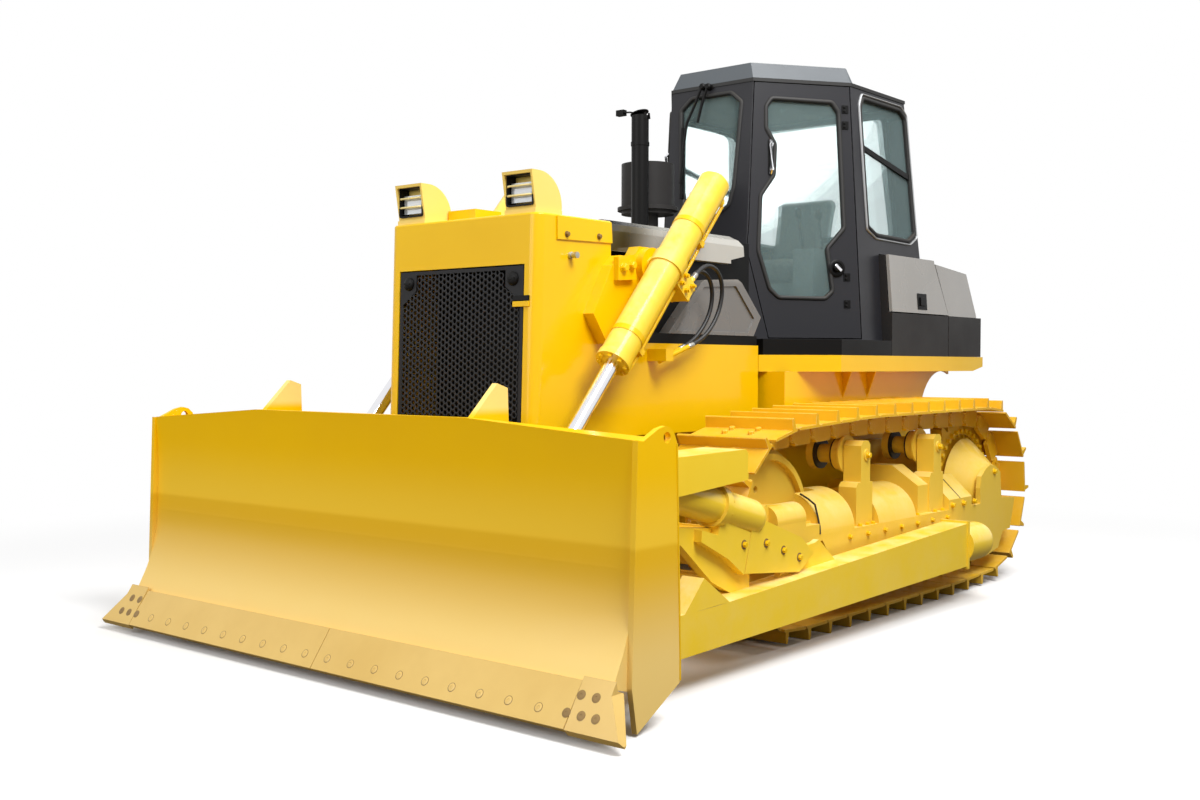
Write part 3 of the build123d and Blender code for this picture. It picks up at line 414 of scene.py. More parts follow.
# painted reflection: paler towards the foot; painted shade: a darker band along the crease's line; and pale
# paint at the top fin
bladeSheenShadeAndFin = (("Z", 0.98, 0.70, (244, 198, 50)), ("Z", 0.690, 0.665, (230, 180, 30)),
              ("Z", 0.655, 0.22, (242, 208, 126)), ("Z", 1.13, 1.17, (244, 214, 128)))
finishLook = {
    "bodyYellow": yellow,
    "paleYellow": paleYellow,
    # the lamp and cast yellows keep the cream painted highlight on faces that look up
    "lampYellow": {**paleYellow, "colour": (244, 214, 118), "second": (242, 208, 106)},
    "castYellow": {**paleYellow, "colour": (238, 202, 74), "second": (234, 192, 56), "rough": 0.5,
                   "dustAndSheenUp": 0.4},
    "bladeYellow": {**yellow, "colour": (244, 192, 0), "second": (240, 187, 0), "rough": 0.45, "coat": 0.15,
                    "dustLow": 0.1, "fades": bladeSheenShadeAndFin},
    "edgeSteel": {**yellow, "colour": (224, 190, 112), "second": (216, 180, 100), "rough": 0.5,
                  "edgeWearAndHighlightColour": (120, 90, 50), "dustAndSheenColour": (200, 165, 100)},
    # pale edges on the links: a painted highlight
    "trackYellow": {**yellow, "colour": (238, 190, 34), "second": (224, 168, 28), "rough": 0.48,
                    "dustAndSheenUp": 0.3, "dustLow": 0.5, "edge": 0.7, "edgeWearAndHighlightColour": (252, 232, 160),
                    "dustAndSheenColour": (240, 208, 110)},
    "cabGrey": {"colour": (38, 38, 42), "second": (33, 33, 37), "rough": 0.38, "coat": 0.05, "gloss": 0.25,
                "edge": 0.3, "edgeWearAndHighlightColour": (110, 112, 116), "dustAndSheenColour": (110, 108, 102), "dustAndSheenUp": 0.05},
    "roofGrey": {"colour": (80, 86, 91), "second": (73, 78, 83), "rough": 0.45, "edge": 0.4,
                 "edgeWearAndHighlightColour": (150, 154, 158), "dustAndSheenColour": (150, 150, 146)},
    "tankGrey": hoodPaint,
    # darker towards its foot; towards the front it runs down to near-black, a painted shade gradient on the
    # gloss panel that ends in the black front part
    "hoodGrey": {**hoodPaint, "colour": (186, 184, 176), "second": (176, 174, 167),
                 "fades": (("Z", 1.86, 1.77, (104, 101, 97)),
                           ("Y", tipY + 1.95, tipY + 1.48, (15, 14, 14)))},
    "deckGrey": {"colour": (40, 38, 37), "second": (33, 31, 31), "rough": 0.5, "gloss": 0.25, "edge": 0.3,
                 "edgeWearAndHighlightColour": (120, 118, 114), "dustAndSheenColour": (90, 84, 76), "dustAndSheenUp": 0.06},
    "cabinGrey": {"colour": (84, 94, 94), "second": (74, 83, 83), "rough": 0.6, "gloss": 0.3, "edge": 0.1},
    "satinBlack": {"colour": (13, 12, 12), "second": (9, 9, 9), "rough": 0.42, "gloss": 0.14, "edge": 0.25,
                   "edgeWearAndHighlightColour": (64, 62, 60), "dustAndSheenColour": (70, 66, 60), "dustAndSheenUp": 0.03},
    "chrome": {"colour": (235, 235, 238), "rough": 0.12, "metal": 1.0, "edge": 0.0, "dustAndSheenUp": 0.0,
               "dustLow": 0.05, "bump": 0.02},
    "rubber": {"colour": (22, 22, 22), "second": (30, 29, 28), "rough": 0.6, "edge": 0.2,
               "edgeWearAndHighlightColour": (60, 58, 56), "bump": 0.15, "dustAndSheenUp": 0.05},
    "grilleBlack": {"colour": (24, 24, 27), "second": (17, 17, 19), "rough": 0.5, "gloss": 0.25,
                    "edge": 0.2, "edgeWearAndHighlightColour": (90, 90, 94), "dustAndSheenColour": (80, 78, 74), "dustAndSheenUp": 0.04},
    "hoseBlack": {"colour": (24, 24, 25), "second": (34, 34, 35), "rough": 0.42, "edge": 0.0, "bump": 0.2,
                  "fine": 700, "dustAndSheenUp": 0.1, "dustAndSheenColour": (90, 86, 80)},
    "steel": {"colour": (196, 196, 192), "second": (176, 176, 170), "rough": 0.3, "metal": 0.9, "edge": 0.3,
              "edgeWearAndHighlightColour": (240, 240, 236), "dustAndSheenUp": 0.05},
    "cream": {"colour": (250, 232, 160), "second": (244, 224, 150), "rough": 0.35,
              "coat": 0.2, "edge": 0.2},
    "paleTrim": {"colour": (176, 178, 180), "second": (160, 162, 164), "rough": 0.35, "edge": 0.2,
                 "metal": 0.4},
    # dark brown of shaded hollows: painted shade, for the rings and seats round bolts and some bolt heads
    "edgeShade": {"colour": (120, 92, 44), "second": (140, 108, 52), "rough": 0.6, "edge": 0.0},
    "lens": {"colour": (226, 230, 232), "second": (206, 210, 214), "rough": 0.12, "coat": 1.0, "edge": 0.0,
             "metal": 0.5, "dustAndSheenUp": 0.0, "bump": 0.3, "fine": 120},
    "vinyl": {"colour": (50, 58, 57), "second": (43, 50, 49), "rough": 0.6, "edge": 0.1,
              "bump": 0.4, "fine": 500},
}
glassLook = {"colour": (186, 214, 214), "alpha": 0.28, "smear": 0.06}
finishes = {name: paint(name, look) for name, look in finishLook.items()}
finishes["glass"] = clearGlass("glass", glassLook)
nodeFinish = {
    "bladeYellow": ["blade"],
    "edgeSteel": ["cutting_edges", "end_bits"],
    "paleYellow": ["push_arms", "lift_barrel_left", "lift_barrel_right", "tilt_set"],
    "lampYellow": ["headlamps"],
    "castYellow": ["final_drives", "track_frame_left", "track_frame_right", "carrier_rollers", "idlers"],
    "trackYellow": ["track_left", "track_right", "sprockets"],
    "cabGrey": ["cab_shell", "cab_door_left", "cab_door_right"],
    "roofGrey": ["cab_roof"],
    "hoodGrey": ["hood"],
    "tankGrey": ["fuel_tank", "side_lid_left", "side_lid_right"],
    "deckGrey": ["tank_base", "side_boxes", "precleaner"],
    "cabinGrey": ["seat_base", "consoles"],
    "satinBlack": ["deck_box", "hood_core", "grille", "exhaust", "radiator", "engine_block"],
    "glass": ["cab_glass", "door_glass_left", "door_glass_right"],
    "lens": ["lamp_lenses"],
    "chrome": ["lift_rod_left", "lift_rod_right"],
    "rubber": ["hose_upper_left", "hose_upper_right", "hose_lower_left", "hose_lower_right"],
    "vinyl": ["seat_cushion", "seat_back"],
}
finishOf = {name: finish for finish, names in nodeFinish.items() for name in names}
for name, obj in nodes.items():
    obj.data.materials.clear()
    obj.data.materials.append(finishes[finishOf.get(name, "bodyYellow")])
print("finishes on the frame")


trackLook = {         # link outlines are (along, out) in millimetres from the pin
    "pitch": 0.2032, "links": 36, "middle": 0.940, "halfShoe": 0.2545, "bolt": 0.027, "boss": 27,
    "shoe": ((2, 57), (2, 68), (12, 71), (15, 100), (18, 123), (21, 126), (31, 126), (34, 123), (38, 100),
             (42, 71), (188, 71), (197, 66), (197, 57)),
    "web": ((28, -36), (38, -48), (168, -48), (178, -36), (180, 57), (26, 57)),
    "wheels": ((1975.746113501009, 548, 422), (3790, 274, 148), (4284, 581, 436.5938398896873),
               (3571, 876, 138), (2715, 870, 138))}     # station, height and radius of the pin line


def chainPins(look):
    # Pins at equal steps round a belt. Each wheel gives an arc, radius * the turn between two runs,
    # and each gap a straight run, the root of span^2 - (difference of the radii)^2
    wheels = np.array(look["wheels"], float)
    c, r = many(np.insert(wheels[:, :2], 0, 0, 1))[:, 1:], wheels[:, 2] / 1000
    gap = np.roll(c, -1, 0) - c
    span, grow = np.hypot(*gap.T), r - np.roll(r, -1)
    ahead = np.arctan2(gap[:, 1], gap[:, 0]) + np.arcsin(grow / span)
    behind = np.roll(ahead, 1)
    lengths = np.stack([r * ((ahead - behind) % (2 * np.pi)), np.sqrt(span ** 2 - grow ** 2)], 1).ravel()
    ends = np.cumsum(lengths)
    steps = np.arange(look["links"]) * look["pitch"]
    s = (ends[3] % look["pitch"] + steps) % (look["links"] * look["pitch"])
    part = np.minimum(np.searchsorted(ends, s), len(ends) - 1)
    past, wheel, onArc = s - (ends - lengths)[part], part // 2, part % 2 == 0
    turn = np.where(onArc, behind[wheel] + past / r[wheel], ahead[wheel]) - np.pi / 2
    out = np.stack([np.cos(turn), np.sin(turn)], 1)
    along = np.stack([-out[:, 1], out[:, 0]], 1)
    return c[wheel] + r[wheel, None] * out + np.where(onArc, 0, past)[:, None] * along


def onChain(shape, pins, middle):
    # A link shape (along, out, across) on all links at once: point = pin + along * ahead + out * normal
    verts, faces = shape
    ahead = unit(np.roll(pins, -1, 0) - pins)
    out = np.stack([ahead[:, 1], -ahead[:, 0]], 1)
    yz = pins[:, None] + verts[None, :, :1] * ahead[:, None] + verts[None, :, 1:2] * out[:, None]
    x = np.broadcast_to(middle + verts[None, :, 2:], (*yz.shape[:2], 1))
    count = len(verts)
    copies = [[i + k * count for i in f] for k in range(len(pins)) for f in faces]
    return np.concatenate([x, yz], 2).reshape(-1, 3), copies


def plateAcross(outline, low, high):
    # A link outline (along, out) in millimetres, solid between two places across it
    return slab(np.array(outline) / 1000, (0, 0, low / 1000), (1, 0, 0), (0, 1, 0), (high - low) / 1000)


def linkShape(look):
    # One link: shoe with its grouser, link plates with their bosses, bush,
    # pin ends and four bolts, for both sides of it
    half = look["halfShoe"] * 1000
    turn = np.radians(np.linspace(-90, 90, 7))
    boss = look["boss"] * np.stack([np.cos(turn), np.sin(turn)], 1)
    rear = [(150, -44), *(boss + (look["pitch"] * 1000, 0)), (150, 50)]
    front = [(50, 50), *(boss[::-1] * (-1, 1)), (50, -44)][::-1]
    bush = turned([(0.031, 0), (0.031, 0.116)], (0, 0, -0.058), (0, 0, 1), 14)
    shapes = [plateAcross(look["shoe"], -half, half), bush]
    for side in (-1, 1):
        for outline, low, high in ((look["web"], 62, 90), (rear, 74, 92), (front, 58, 76)):
            shapes.append(plateAcross(outline, min(side * low, side * high), max(side * low, side * high)))
        shapes.append(turned([(0.018, 0), (0.018, 0.006)], (0, 0, side * 0.0915), (0, 0, side), 10))
    bolt = hexBolt(look["bolt"], False)
    places = [(t, 0.071, x) for t in (0.070, 0.135) for x in (-0.076, 0.076)]
    shapes.append(scattered(bolt, places, (0, 1, 0)))
    return merged(shapes)


def makeTracks(look):
    # Both track loops; each stands for the plain loop of its side
    links = onChain(linkShape(look), chainPins(look), look["middle"])
    for side, turn in bothSides:
        loop = newPiece("trackLoop_" + side, turn(links), "chassis", "trackYellow", smooth=30)
        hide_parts("track_" + side)


makeTracks(trackLook)
print("tracks made")


grilleLook = {        # places in millimetres, the cells, sheet and knobs in metres
    "half": 0.414, "low": 1066, "high": 1791, "cell": 0.01674, "hole": 0.0100, "thick": 0.005,
    "corner": ((308, 1697), (413, 1620)), "knob": (350, 1733), "knobBar": (-0.020, 0.020, -0.005, 0.005),
    "dome": ((0.033, 0), (0.033, 0.006), (0.02805, 0.011), (0.0132, 0.014), (0.001, 0.0145)),
    "hinges": (("grilleHingeLow", (1603, 1628), "bodyYellow"), ("grilleHinge", (1630, 1654), "satinBlack"))}
noseFoot, noseTop = (854, 995), (887, 2029)     # station and height of the ends of the leaning front
noseRake = (noseTop[0] - noseFoot[0]) / (noseTop[1] - noseFoot[1])
noseBase = 1066       # outlines on the nose are measured up from this height


def onNose(x, z, proud=0.0):
    # A place on the leaning front of the nose; proud moves it forwards, in millimetres
    return at(x, noseFoot[0] + (z - noseFoot[1]) * noseRake - proud, z)


noseAcross, noseAbove = np.array([1.0, 0, 0]), unit((0, noseRake, 1))
noseOut = np.cross(noseAcross, noseAbove)


def noseSlab(outline, proud, thick):
    # A flat outline (across, height) on the leaning nose, its back face proud of it by so much
    o = np.array(outline, float)
    rows = np.stack([o[:, 0], (o[:, 1] - noseBase) * math.hypot(1, noseRake)], 1) / 1000
    return slab(rows, onNose(0, noseBase, proud), noseAcross, noseAbove, thick / 1000)


def makeGrille(look):
    # Perforated sheet on hexagonal cells: each cell is a ring of quads
    # between its hexagon and its hole, given a wall after
    cell, hole = look["cell"], look["hole"]
    across, up = 1.5 * cell, math.sqrt(3) * cell
    tall = (look["high"] - look["low"]) / 1000
    k, j = np.meshgrid(np.arange(-15, 16), np.arange(0, 25), indexing="ij")
    x, h = k * across, 0.030 + (j + (k % 2) / 2) * up
    (x0, z0), (x1, z1) = look["corner"]
    edge = (z0 - look["low"]) / 1000 + (np.abs(x) - x0 / 1000) * (z1 - z0) / (x1 - x0)
    keep = (h < tall - 0.022) & ~((np.abs(x) > x0 / 1000 - 0.012) & (h > edge - 0.016))
    x, h = x[keep], h[keep]
    turn = np.radians(np.arange(0, 360, 30))
    reach = np.where(np.arange(12) % 2 == 0, cell, cell * math.cos(math.pi / 6))
    ways = np.stack([np.cos(turn), np.sin(turn)], 1)
    rings = np.stack([reach, np.full(12, hole)])[:, :, None] * ways[None]
    flat = np.stack([x, h], 1)[:, None, None] + rings[None]
    verts = onNose(0, look["low"], -4) + flat[..., :1] * noseAcross + flat[..., 1:] * noseAbove
    one = gridFaces(2, 12, closeCols=True)
    faces = [[i + 24 * n for i in f[::-1]] for n in range(len(x)) for f in one]
    sheet = newPiece("grilleSheet", (verts.reshape(-1, 3), faces), "chassis", "grilleBlack",
                     smooth=30, sheet=look["thick"])
    low, high, half = look["low"], look["high"], look["half"] * 1000
    strips = [noseSlab(oblong(-half, half, low, low + 14), -9, 7),
              noseSlab(oblong(-half, half, high - 18, high), -9, 7)]
    for side in (-1, 1):
        outer, inner = side * half, side * (half - 22)
        strips.append(noseSlab(oblong(min(outer, inner), max(outer, inner), low, high), -9, 7))
        corner = [(side * 300, high), (side * 300, z0), (side * 412, z1 - 4), (side * 412, high)]
        strips.append(noseSlab(corner[::side], -9, 8))
    newPiece("grilleBorder", merged(strips), "chassis", "grilleBlack", bevel=0.0015)
    dome = turned(look["dome"], (0, 0, 0), (0, 0, 1), 28)
    bar = slab(oblong(*look["knobBar"]), (0, 0, 0.011), (1, 0, 0), (0, 1, 0), 0.008)
    x, z = look["knob"]
    knobs = scattered(merged([dome, bar]), [onNose(-x, z, -1), onNose(x, z, -1)], noseOut)
    newPiece("grilleKnobs", knobs, "chassis", "satinBlack", bevel=0.001)
    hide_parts("grille")
    for name, (foot, top), finish in look["hinges"]:
        newPiece(name, noseSlab(oblong(358, 456, foot, top), 0.5, 9), "chassis", finish, bevel=0.002)


makeGrille(grilleLook)
print("grille made")


cabWalls = {          # origin, across and outward direction of each wall's outer face, in millimetres
    "door": ((291, 2948, 2996), (361, 488, 0), (0.8039, -0.5947, 0.0443)),
    "side": ((652, 3436, 2996), (0, 1, 0), (1, 0, 0.055)),
    "front": ((0, 2948, 2996), (1, 0, 0), (0, -1, 108 / 1506)),
    "rear": ((0, 4113, 2996), (-1, 0, 0), (0, 1, 206 / 1506))}
panes = {             # window edges as (across, height)
    "door": ((111, 2889), (487, 2883), (529, 2826), (556, 2144), (448, 2023), (480, 1775), (431, 1729),
             (140, 1732), (85, 1782), (19, 1999), (36, 2323), (120, 2442), (129, 2624),
             (75, 2713), (76, 2842)),
    "side": ((100, 2871), (135, 2935), (612, 2935), (680, 2890), (751, 2164), (660, 2118),
             (240, 2125), (135, 2169)),
    "front": ((-218, 2870), (-140, 2935), (140, 2935), (218, 2870), (190, 2380), (160, 2271), (60, 2205),
              (-60, 2205), (-160, 2271), (-190, 2380)),
    "rear": ((-480, 2880), (-440, 2920), (440, 2920), (480, 2880), (520, 2180), (480, 2140), (-480, 2140),
             (-520, 2180))}
eaves = 2996          # height at which the cab's leaning walls meet the roof
# half width and height of the rubber, of the thin frames and of the rails, in metres
sealLook = {"half": 0.013, "proud": 0.011, "round": 16, "frameGrow": 26, "frameHalf": 0.006,
            "frameProud": 0.012, "rail": ((112, 2640), (722, 2520)), "railHalf": 0.016}


def wallAxes(wall):
    # A cab wall's origin in the frame, and its unit directions across, above and outwards
    origin, across, out = cabWalls[wall]
    a, n = unit(across), unit(out)
    return at(*origin), a, np.cross(n, a), n


def onWall(wall, spots, proud=0.0):
    # Places on a cab wall given as (across, height) in millimetres:
    # origin + across * a + (height - eaves) * b + proud * n
    origin, a, b, n = wallAxes(wall)
    s = np.array(spots, float) / 1000
    return origin + s[:, :1] * a + (s[:, 1:] - eaves / 1000) * b + proud * n


def sealShape(wall, grow, half, proud):
    # A strip with a domed section, half * cos and proud * sin, carried
    # round a window's edge with its corners rounded
    edge = np.array(panes[wall], float)
    edge = edge + unit(edge - edge.mean(0)) * grow
    path = onWall(wall, polyRound(edge, sealLook["round"], 4))
    bow = np.radians(np.linspace(0, 180, 7))
    section = [(-half, -0.012), (half, -0.012), *np.stack([half * np.cos(bow), proud * np.sin(bow)], 1)]
    return carried(path, section, wallAxes(wall)[3], closed=True)


def makeSeals(look):
    # Rubber round every window, thin frames outside the side windows, and a rail across each of them
    rubber = 0.0, look["half"], look["proud"]
    seals = [sealShape("front", *rubber), sealShape("rear", *rubber), sealShape("side", *rubber),
             mirroredShape(sealShape("side", *rubber))]
    newPiece("cabSeals", merged(seals), "chassis", "rubber", smooth=50)
    frames = sealShape("side", look["frameGrow"], look["frameHalf"], look["frameProud"])
    newPiece("sideWindowFrames", merged([frames, mirroredShape(frames)]), "chassis", "paleTrim", smooth=50)
    half = look["railHalf"]
    rail = carried(onWall("side", look["rail"], -0.004), oblong(-half, half, -0.010, 0.006), (1, 0, 0))
    newPiece("sideWindowRails", merged([rail, mirroredShape(rail)]), "chassis", "satinBlack", bevel=0.001)
    for side, turn in bothSides:
        newPiece("doorSeal_" + side, turn(sealShape("door", *rubber)), "cab_door_" + side,
                 "rubber", smooth=50)


doorLook = {     # (across, height) on the door in millimetres; turned parts as (radius, distance) in metres
    "recess": (84, 116, 2436, 2652), "recessRound": 14, "gripRadius": 0.012,
    "grip": ((100, 2452), (100, 2470), (100, 2620), (100, 2638)), "lock": (502, 1908),
    "ring": ((0.052, 0), (0.052, 0.010), (0.046, 0.014), (0.034, 0.014), (0.034, 0.008), (0.001, 0.008)),
    "knob": ((0.024, 0), (0.024, 0.020), (0.019, 0.025), (0.001, 0.026)),
    "tongue": (-0.008, 0.008, -0.026, 0.026), "hinges": ((2868, 2728), (1880, 1676)), "leaf": (548, 588),
    "leafTall": 46, "screw": 0.013}


def makeDoorFittings(look):
    # Each door's grab handle in its recess, round lock and hinge
    # leaves, as slabs and turned shapes on its wall
    origin, a, b, n = wallAxes("door")
    recess = polyRound(oblong(*look["recess"]), look["recessRound"], 4)
    back = slab((recess - (0, eaves)) / 1000, origin + 0.0008 * n, a, b, 0.003)
    # both ends dip to the wall
    line = onWall("door", look["grip"], 0.020) + np.outer([-0.017, 0, 0, -0.017], n)
    grip = carried(line, disc(look["gripRadius"], 12), b)
    lock = onWall("door", [look["lock"]])[0]
    ring = turned(look["ring"], lock, n, 32)
    knob = turned(look["knob"], lock + 0.008 * n, n, 24)
    tongue = slab(oblong(*look["tongue"]), lock + 0.030 * n, unit(a + b), unit(b - a), 0.007)
    leaves, screws = [], []
    for high, low in look["hinges"]:
        for top, foot in ((high, high - look["leafTall"]), (low + look["leafTall"], low)):
            leaf = np.array(oblong(*look["leaf"], foot, top))
            leaves.append(slab((leaf - (0, eaves)) / 1000, origin + 0.0006 * n, a, b, 0.006))
            for h in (foot + 12, top - 12):
                screws.append(scattered(hexBolt(look["screw"], False),
                                        onWall("door", [(562, h)], 0.0064), n))
    for side, turn in bothSides:
        body = "cab_door_" + side
        newPiece("handleRecess_" + side, turn(merged([back, ring, knob])), body, "satinBlack",
                 bevel=0.001)
        newPiece("doorHandle_" + side, turn(merged([grip, tongue])), body, "chrome", bevel=0.001)
        newPiece("doorHinges_" + side, turn(merged([*leaves, *screws])), body, "satinBlack",
                 bevel=0.001)


wiperLook = {         # each arm's and the blade's line on the windscreen, and the arms' radius
    "arms": (((-52, 2990), (-98, 2880), (-150, 2780), (-168, 2620), (-176, 2420)),
             ((-12, 2985), (-48, 2870), (-70, 2775))),
    "blade": ((-182, 2760), (-172, 2330)), "radius": 0.0085, "rubber": (-0.008, 0.008, -0.014, 0.010),
    "foot": ((0.02, 0), (0.02, 0.03), (0.014, 0.038), (0.001, 0.038))}


def makeWipers(look):
    # Two wiper arms and a blade on the windscreen, tubes carried along their lines, with a round foot each
    n = wallAxes("front")[3]
    arms = [carried(onWall("front", line, 0.030), disc(look["radius"], 8), n) for line in look["arms"]]
    feet = [turned(look["foot"], onWall("front", [line[0]])[0], n, 16) for line in look["arms"]]
    blade = carried(onWall("front", look["blade"], 0.018), oblong(*look["rubber"]), n)
    newPiece("wipers", merged([*arms, *feet, blade]), "chassis", "satinBlack", bevel=0.001)


roofSealLook = {
    "corners": ((-291, 2948), (291, 2948), (652, 3436), (652, 4113), (-652, 4113), (-652, 3436)),
    "height": 2993, "half": 0.006, "tall": 0.010}


def makeRoofSeal(look):
    # The dark rubber line where the roof sits on the cab: a strip
    # carried round the eaves, just under the roof
    path = many([(x, y, look["height"]) for x, y in look["corners"]])
    section = oblong(-look["half"], look["half"], -look["tall"], look["tall"])
    strip = carried(path, section, (0, 0, 1), closed=True)
    newPiece("roofSeal", strip, "chassis", "rubber")


makeSeals(sealLook)
makeDoorFittings(doorLook)
makeWipers(wiperLook)
makeRoofSeal(roofSealLook)
print("cab trim made")


# places as (along the cylinder, out from it) in millimetres from the trunnion, sizes in metres
liftLook = {
    "trunnion": (690, 1599, 1822), "eye": (690, 575, 669), "barrel": 0.080, "pipe": 0.0095,
    "highPipe": ((546, 96), (546, 118), (538, 126), (60, 126), (40, 130)),
    "lowPipe": ((-40, 118), (-540, 118), (-566, 112), (-584, 98), (-590, 76)),
    "bands": (250, -470), "nuts": (556, -590), "port": -590,
    "plugs": ((-26, 100), (24, 100), (-26, 150), (24, 172)),
    "gland": (-634, 66), "yoke": ((590, 1380, 1800), (590, 1440, 1815)),
    "plug": ((0.013, 0), (0.013, 0.016), (0.008, 0.017), (0.008, 0.026), (0.001, 0.026))}
liftUp = unit(np.subtract(liftLook["trunnion"], liftLook["eye"]))
liftOut = np.array([0, liftUp[2], -liftUp[1]])
hoseLook = {          # the ferrule's outline is (share of its radius, distance from the hose's end)
    "radius": 0.011, "lengths": {"upper": 0.823, "lower": 0.766}, "ferrule": 0.0150,
    "outline": ((0.8, -0.012), (1, -0.008), (1, 0.004), (0.86, 0.006), (1, 0.008), (1, 0.016),
                (0.86, 0.018), (1, 0.020), (1, 0.030), (0.8, 0.034))}
hoseRoutes = {        # the left hoses from the cylinder to the pipes on the nose
    "upper": ((680, 1822, 1772), (668, 1895, 1822), (654, 1998, 1850), (640, 2104, 1818), (628, 2156, 1732),
              (618, 2140, 1622), (610, 2072, 1524), (602, 1985, 1462), (601, 1900, 1436)),
    "lower": ((638, 1826, 1748), (626, 1893, 1796), (612, 1986, 1822), (598, 2080, 1790), (586, 2126, 1708),
              (577, 2112, 1606), (566, 2048, 1514), (560, 1968, 1454), (559, 1886, 1424))}


def smoothLine(points, steps=10):
    # One smooth line through a route, in arcs from midpoint a to midpoint b:
    # point = (1 - t)^2 * a + 2t(1 - t) * corner + t^2 * b
    mid = (points[:-1] + points[1:]) / 2
    mid[0], mid[-1] = points[0], points[-1]
    t = np.linspace(0, 1, steps, endpoint=False)[None, :, None]
    a, corner, b = mid[:-1, None], points[1:-1, None], mid[1:, None]
    return np.concatenate([((1 - t) ** 2 * a + 2 * t * (1 - t) * corner + t ** 2 * b).reshape(-1, 3),
                           points[-1:]])


def makeHoses(look):
    # Four hoses, a round section carried along each smooth line, with a crimped steel ferrule at both ends
    for side, sign in (("left", 1), ("right", -1)):
        tops, feet = [], []
        barrel = "lift_barrel_" + side
        for name, route in hoseRoutes.items():
            points = many(np.array(route) * (sign, 1, 1))
            line = smoothLine(points)
            tube = carried(line, disc(look["radius"], 12), (1, 0, 0))
            hose = newPiece(f"liftHose_{name}_{side}", tube, None, "hoseBlack", smooth=60)
            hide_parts(f"hose_{name}_{side}")
            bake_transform(hose)
            shape = [(look["ferrule"] * share, distance) for share, distance in look["outline"]]
            tops.append(turned(shape, points[0], points[1] - points[0], 16))
            feet.append(turned(shape, points[-1], points[-2] - points[-1], 16))
        newPiece("hoseEndsHigh_" + side, merged(tops), barrel, "steel", smooth=40)
        newPiece("hoseEndsLow_" + side, merged(feet), "chassis", "steel", smooth=40)


def onLift(up, out, x=0.0):
    # A place on the left lift cylinder: trunnion + up along it + out from it, in millimetres
    return at(*liftLook["trunnion"]) + (x / 1000, 0, 0) + (up * liftUp + out * liftOut) / 1000


def makeLiftPipes(look):
    # Steel pipes along each lift cylinder, held by bands; gland bolts on a circle, and the yoke's cap bolts
    across, pipe = (1, 0, 0), disc(look["pipe"], 10)
    high, low = (carried([onLift(*spot) for spot in look[line]], pipe, across)
                 for line in ("highPipe", "lowPipe"))
    band = oblong(look["barrel"] + 0.0005, look["barrel"] + 0.0035, -0.014, 0.014)
    bands = [turned(band, onLift(up, 0), liftUp, 40, closed=True) for up in look["bands"]]
    saddles = [slab(oblong(-0.030, 0.030, -0.016, 0.016), onLift(up, 80), across, liftUp, -0.038)
               for up in look["bands"]]
    bolts = [scattered(hexBolt(0.014), [onLift(up, 118, x) for x in (-20, 20)], liftOut)
             for up in look["bands"]]
    nuts = [turned([(0.020, -0.014), (0.020, 0.014)], onLift(up, 92), liftOut, 6) for up in look["nuts"]]
    port = slab(oblong(-0.032, 0.032, -0.026, 0.026), onLift(look["port"], 74), across, liftUp, -0.018)
    face, reach = look["gland"]
    ring = [onLift(face, reach * math.cos(t), reach * math.sin(t))
            for t in np.radians(np.arange(8) * 45 + 22.5)]
    gland = scattered(hexBolt(0.019), ring, -liftUp)
    heads = scattered(hexBolt(0.017), [onLift(up, 201, x) for up in (-34, 34) for x in (-72, 22)], liftOut)
    plugs = [turned(look["plug"], onLift(up, out, 35.2), across, 6) for up, out in look["plugs"]]
    shape = merged([high, low, *plugs, *bands, *saddles, *bolts, *nuts, port, gland, heads])
    cap = scattered(hexBolt(0.034), many(look["yoke"]), across)
    for side, turn in bothSides:
        newPiece("liftPipes_" + side, turn(shape), "lift_barrel_" + side, "bodyYellow", smooth=40)
        newPiece("yokeBolts_" + side, turn(cap), "chassis", "bodyYellow", bevel=0.001)


makeHoses(hoseLook)
makeLiftPipes(liftLook)
print("hoses and pipes made")


lampLook = {"middle": 366, "half": 82, "foot": 2067, "top": 2207, "bars": (2112, 2156), "bar": 0.005,
            "bolts": (62, 1040, 2051), "bolt": 0.020}


def makeLampTrim(look):
    # Each head lamp's liner, two guard bars and foot bolts
    m, reach = look["middle"], look["half"] + 1
    bow = ((m - reach, 912), (m - reach + 17, 900), (m + reach - 17, 900), (m + reach, 912))
    lines = [many([(x, y, z) for x, y in bow]) for z in look["bars"]]
    bars = [carried(line, disc(look["bar"], 8), (0, 0, 1)) for line in lines]
    edge = polyRound(oblong(m - reach + 2, m + reach - 2, look["foot"], look["top"]), 10, 3)
    liner = carried(many([(x, 930, z) for x, z in edge]), oblong(-0.004, 0.004, -0.030, 0.028),
                    (0, -1, 0), closed=True)
    across, station, height = look["bolts"]
    spots = many([(x, station, height) for x in (m - across, m + across)])
    feet = scattered(hexBolt(look["bolt"]), spots, (0, 0, 1))
    for side, turn in bothSides:
        newPiece("lampBars_" + side, turn(merged(bars)), "chassis", "cream", smooth=50)
        newPiece("lampLiner_" + side, turn(liner), "chassis", "satinBlack")
        newPiece("lampFeet_" + side, turn(feet), "chassis", "steel")


makeLampTrim(lampLook)
print("lamp trim made")


def circleOf(middle, radius, count, first=0.0):
    # Places on a circle in a side view: centre + radius * (cos, sin) in station and height, at one width
    turn = np.radians(first + np.arange(count) * 360 / count)
    x, y, z = middle
    return many(np.stack([np.full(count, x), y + radius * np.cos(turn), z + radius * np.sin(turn)], 1))


